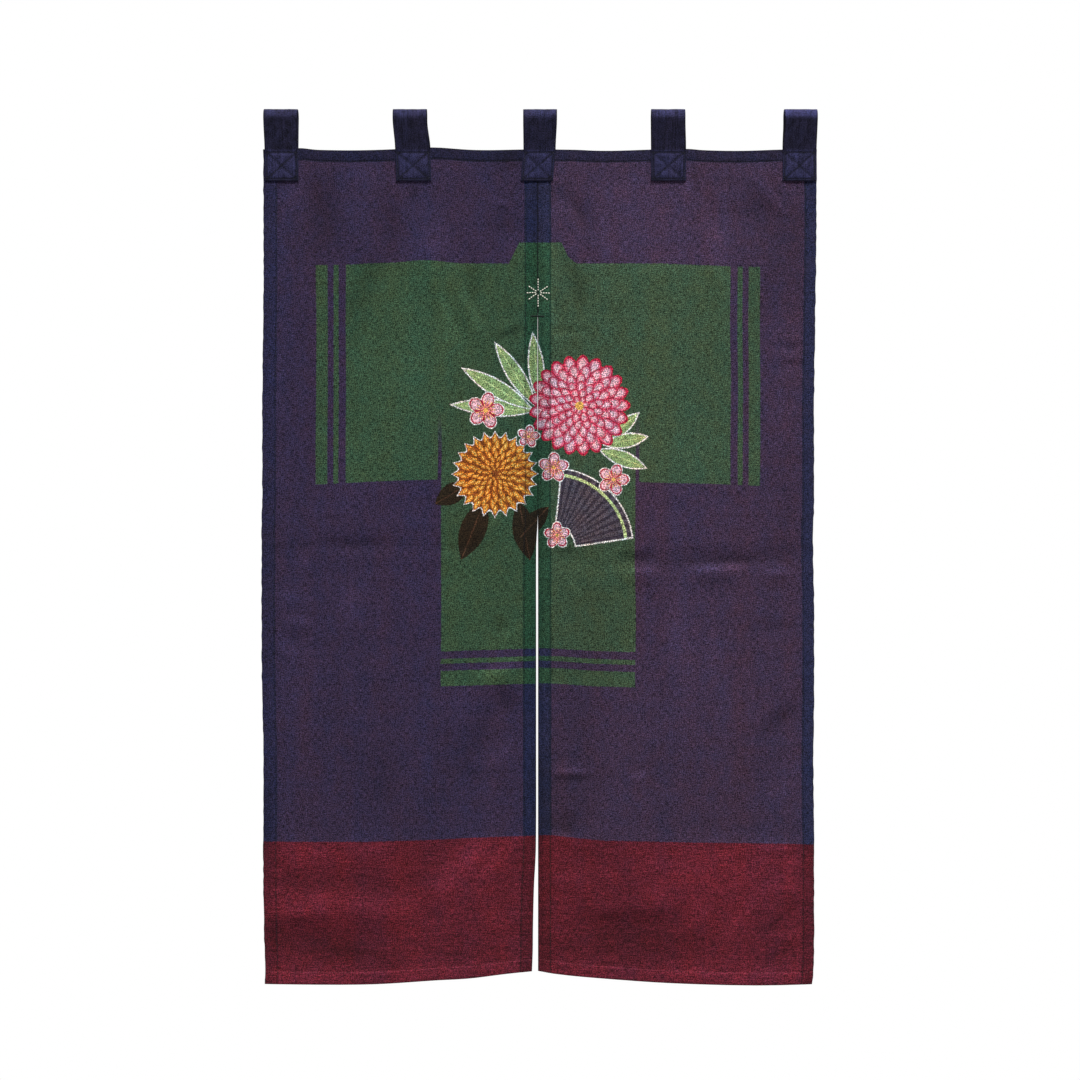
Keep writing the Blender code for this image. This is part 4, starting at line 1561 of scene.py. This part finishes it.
def make_hem_stitches(panel, settings):
    """The pieces of thread along one panel's hems."""
    thread = settings.noren_thread
    sides = [
        [(np.full_like(row, column), row) for row in stitch_ends(PANEL_LENGTH, thread)]
        for column in (SEAM_HEM - STITCH_INSET, PANEL_WIDTH - panel.outer_hem + STITCH_INSET)
    ]
    heading, foot = (
        [(column, np.full_like(column, row)) for column in stitch_ends(PANEL_WIDTH, thread)]
        for row in (HEADING_HEM - STITCH_INSET, PANEL_LENGTH - BOTTOM_HEM + STITCH_INSET)
    )
    for part, shade, lines in (("hem", "navy", [*sides, heading]), ("foot", "wine", [foot])):
        material = thread_material(f"{panel.name}_{shade}_thread", getattr(thread, shade))
        runs = hem_runs(panel, settings, lines)
        sew(f"{panel.name}_{part}_stitches", panel.name + "_cotton", runs, settings, material)


def box_routes(loop):
    """Corners of the lines of a strap's crossed box, as u across it and v up from its end."""
    side = loop.sewn_width / 2 - BOX_INSET
    corners = ((-side, BOX_INSET), (side, BOX_INSET), (side, BOX_TOP), (-side, BOX_TOP))
    return [*zip(corners, corners[1:] + corners[:1]), corners[::2], corners[1::2]]


def strap_surface(loop, u, v, face):
    """Points on a strap's sewn end, in its stitched groove: face is -1 in front and 1 behind."""
    z = -ROD_TO_HEADING - SEWN_LENGTH + v
    centre, width = strap_line(loop, z)
    out = HEM_THICKNESS / 2 + GAP + STRAP_THICKNESS - GROOVE_DEPTH
    return np.stack([centre + u * width / loop.sewn_width, np.full_like(u, face * out), z], -1)


def make_box_stitches(loop, settings, material):
    """Crossed boxes of stitches on both sewn ends of a strap."""
    runs = []
    for route in box_routes(loop):
        first, last = np.array(route)
        length = np.linalg.norm(last - first)
        near, far = (
            (first + (last - first) * (ends / length)[:, None]).T
            for ends in stitch_ends(length, settings.noren_thread)
        )
        for _, way in FACES:
            starts, ends = (strap_surface(loop, u, v, way) for u, v in (near, far))
            runs.append(run_of(starts, ends, way))
    sew(loop.name + "_box_stitches", "loop_cotton", runs, settings, material)


def seam_point(settings, x, down, face):
    """Points on the two panels beside the seam, on their front or back."""
    points = np.zeros((len(x), 3))
    for panel in PANELS:
        mine = x * panel.side >= 0
        row = down[mine] * PANEL_LENGTH / SEAM_LENGTH
        points[mine] = panel_faces(panel, settings.noren_cloth, np.abs(x[mine]), row)[face]
    return points


def seam_runs(settings, starts, ends, faces=FACES):
    """Runs of stitches from some places beside the seam to others, each an x and a distance
    down."""
    return [
        run_of(seam_point(settings, *starts, face), seam_point(settings, *ends, face), way)
        for face, way in faces
    ]


def make_seam_stitches(settings, material):
    """Short slanting stitches that draw the two panels together, on both faces."""
    down = np.arange(SEAM_SEWN_FROM, BARTACK_DOWN, SEAM_STITCH_PITCH)
    half = np.full_like(down, SEAM_STITCH_HALF)
    starts, ends = (-half, down - SEAM_STITCH_SLANT), (half, down + SEAM_STITCH_SLANT)
    sew("seam_stitches", "panel_left_cotton", seam_runs(settings, starts, ends), settings, material)


def make_bartack(settings, material):
    """Close upright stitches across the head of the slit, on both faces."""
    x = np.arange(-BARTACK_HALF, BARTACK_HALF, BARTACK_PITCH)
    half = np.full_like(x, BARTACK_HEIGHT / 2)
    runs = seam_runs(settings, (x, BARTACK_DOWN - half), (x, BARTACK_DOWN + half))
    sew("bartack", "panel_left_cotton", runs, settings, material, BARTACK_THREADS)


def make_star(settings, material):
    """A small star of running stitches under the neck, on the front."""
    routes = []
    for ray in STAR_RAYS:
        turn = math.radians(ray.turn)
        start = STAR_START
        while start + STAR_STITCH <= ray.end + STAR_SLACK:
            for distance in (start, start + STAR_STITCH):
                x = STAR_X + distance * math.sin(turn)
                routes.append((x, STAR_DOWN - distance * math.cos(turn)))
            start += STAR_STITCH + STAR_GAP
    x, down = np.array(routes).T
    starts, ends = (x[::2], down[::2]), (x[1::2], down[1::2])
    runs = seam_runs(settings, starts, ends, FACES[:1])
    sew("neck_star", "panel_left_cotton", runs, settings, material, STAR_THREADS)


# Stage

FLOOR_RADIUS, FLOOR_CORNERS = 2.35, 96
FLOOR_COLOUR = screen(240, 240, 238)
FLOOR_MOTTLE = 0.04
KEY_PLACE, BACK_PLACE = (0.9, -2.7, 6.5), (-1.5, 3.0, 1.0)
LAMP_AIM = (0, 0, -0.6)
LAMP_SIZE = 2.0


def studio_world(ambient):
    """White to the camera, and softer as a light."""
    world = bpy.data.worlds.new("studio")
    world.use_nodes = True
    nodes, links = world.node_tree.nodes, world.node_tree.links
    background = nodes["Background"]
    background.inputs["Color"].default_value = (1, 1, 1, 1)
    path = nodes.new("ShaderNodeLightPath")
    strength = nodes.new("ShaderNodeMapRange")
    strength.inputs["To Min"].default_value = ambient
    strength.inputs["To Max"].default_value = 1
    links.new(path.outputs["Is Camera Ray"], strength.inputs["Value"])
    links.new(strength.outputs["Result"], background.inputs["Strength"])
    return world


def add_lamp(name, place, power):
    """A large square lamp that faces the cloth."""
    bpy.ops.object.light_add(type="AREA", location=place)
    lamp = lone_object()
    lamp.name = name
    lamp.data.size = LAMP_SIZE
    lamp.data.energy = power
    away = lamp.location - Vector(LAMP_AIM)
    lamp.rotation_euler = away.to_track_quat("Z", "Y").to_euler()


def floor_material():
    """Pale matt floor with a slight unevenness."""
    material, tree, surface = matt_material("pale_floor", 0.8, 0)
    coordinates = tree.nodes.new("ShaderNodeTexCoord")
    clouds = tree.nodes.new("ShaderNodeTexNoise")
    clouds.inputs["Scale"].default_value = 3
    tree.links.new(coordinates.outputs["Object"], clouds.inputs["Vector"])
    dye = Dye(tree, FLOOR_COLOUR)
    dye.scale(Field(tree, clouds.outputs[0]).scaled(FLOOR_MOTTLE, 1 - FLOOR_MOTTLE / 2))
    tree.links.new(dye.colour, surface.inputs["Base Color"])
    return material


# Operators


class NOREN_OT_panels(bpy.types.Operator):
    """Weave the two hemmed panels over their solids"""

    bl_idname = "noren.panels"
    bl_label = "Woven panels"

    def execute(self, context):
        for panel in PANELS:
            make_panel(panel, context.scene)
        return {"FINISHED"}


class NOREN_OT_straps(bpy.types.Operator):
    """Fold the five straps over their solids"""

    bl_idname = "noren.straps"
    bl_label = "Folded straps"

    def execute(self, context):
        material = strap_material("strap_indigo", context.scene)
        for number, loop in enumerate(LOOPS):
            make_strap(loop, number, material)
        return {"FINISHED"}


class NOREN_OT_sewing(bpy.types.Operator):
    """Sew the hems, the crossed boxes, the seam, its bartack and the small star"""

    bl_idname = "noren.sewing"
    bl_label = "Sewing"

    def execute(self, context):
        scene = context.scene
        thread = scene.noren_thread
        navy = thread_material("navy_thread", thread.navy)
        for panel in PANELS:
            make_hem_stitches(panel, scene)
        for loop in LOOPS:
            make_box_stitches(loop, scene, navy)
        make_seam_stitches(scene, navy)
        make_bartack(scene, thread_material("green_thread", thread.green))
        make_star(scene, thread_material("natural_thread", thread.natural))
        return {"FINISHED"}


class NOREN_OT_declare(bpy.types.Operator):
    """Work out the straps sewn to each panel, and each strap's sewn width and panels, without
    keeping any of it
    """

    bl_idname = "noren.declare"
    bl_label = "Cloth sizes"

    def execute(self, context):
        for panel in PANELS:
            [loop.name + "_strap" for loop in LOOPS if panel in panels_under(loop)]
        for loop in LOOPS:
            loop.sewn_width * MM
            [panel.name + "_cloth" for panel in panels_under(loop)]
        return {"FINISHED"}


class NOREN_OT_stage(bpy.types.Operator):
    """Set up the pale floor, the studio light and the camera"""

    bl_idname = "noren.stage"
    bl_label = "Stage"

    def execute(self, context):
        stage = context.scene.noren_stage
        bpy.ops.object.select_all(action="DESELECT")
        bpy.ops.mesh.primitive_circle_add(
            vertices=FLOOR_CORNERS,
            radius=FLOOR_RADIUS,
            fill_type="NGON",
            location=(0, 0, -stage.floor_drop),
        )
        floor = lone_object()
        floor.name = "floor"
        floor.data.materials.append(floor_material())
        context.scene.world = studio_world(stage.ambient)
        add_lamp("key_lamp", KEY_PLACE, stage.key)
        add_lamp("back_lamp", BACK_PLACE, stage.back)
        place = (stage.centre_x, -stage.distance, -stage.centre_drop)
        bpy.ops.object.camera_add(location=place, rotation=(math.pi / 2, 0, 0))
        camera = lone_object()
        camera.name = "front_camera"
        camera.data.lens = camera.data.sensor_width * stage.distance / stage.frame
        context.scene.camera = camera
        context.scene.view_settings.view_transform = "Standard"
        return {"FINISHED"}


class NOREN_PT_curtain(bpy.types.Panel):
    """Steps that dress the curtain, and the sizes and colours that they use"""

    bl_label = "Noren curtain"
    bl_idname = "NOREN_PT_curtain"
    bl_space_type = "VIEW_3D"
    bl_region_type = "UI"
    bl_category = "Noren"

    def draw(self, context):
        for operator in OPERATORS:
            self.layout.operator(operator.bl_idname)
        for name, group in GROUPS.items():
            box = self.layout.box()
            for choice in group.__annotations__:
                box.prop(getattr(context.scene, name), choice)


GROUPS = {
    "noren_cloth": NorenCloth,
    "noren_coat": NorenCoat,
    "noren_thread": NorenThread,
    "noren_stage": NorenStage,
}
OPERATORS = (NOREN_OT_panels, NOREN_OT_straps, NOREN_OT_sewing, NOREN_OT_declare, NOREN_OT_stage)


def register():
    for group in GROUPS.values():
        bpy.utils.register_class(group)
    for name, group in GROUPS.items():
        setattr(bpy.types.Scene, name, PointerProperty(type=group))
    for kind in (*OPERATORS, NOREN_PT_curtain):
        bpy.utils.register_class(kind)


def unregister():
    for kind in (NOREN_PT_curtain, *reversed(OPERATORS)):
        bpy.utils.unregister_class(kind)
    for name in GROUPS:
        delattr(bpy.types.Scene, name)
    for group in reversed(GROUPS.values()):
        bpy.utils.unregister_class(group)


def main():
    register()
    bpy.ops.noren.panels()
    bpy.ops.noren.straps()
    bpy.ops.noren.sewing()
    bpy.ops.noren.declare()
    bpy.ops.noren.stage()


if __name__ == "__main__":
    main()
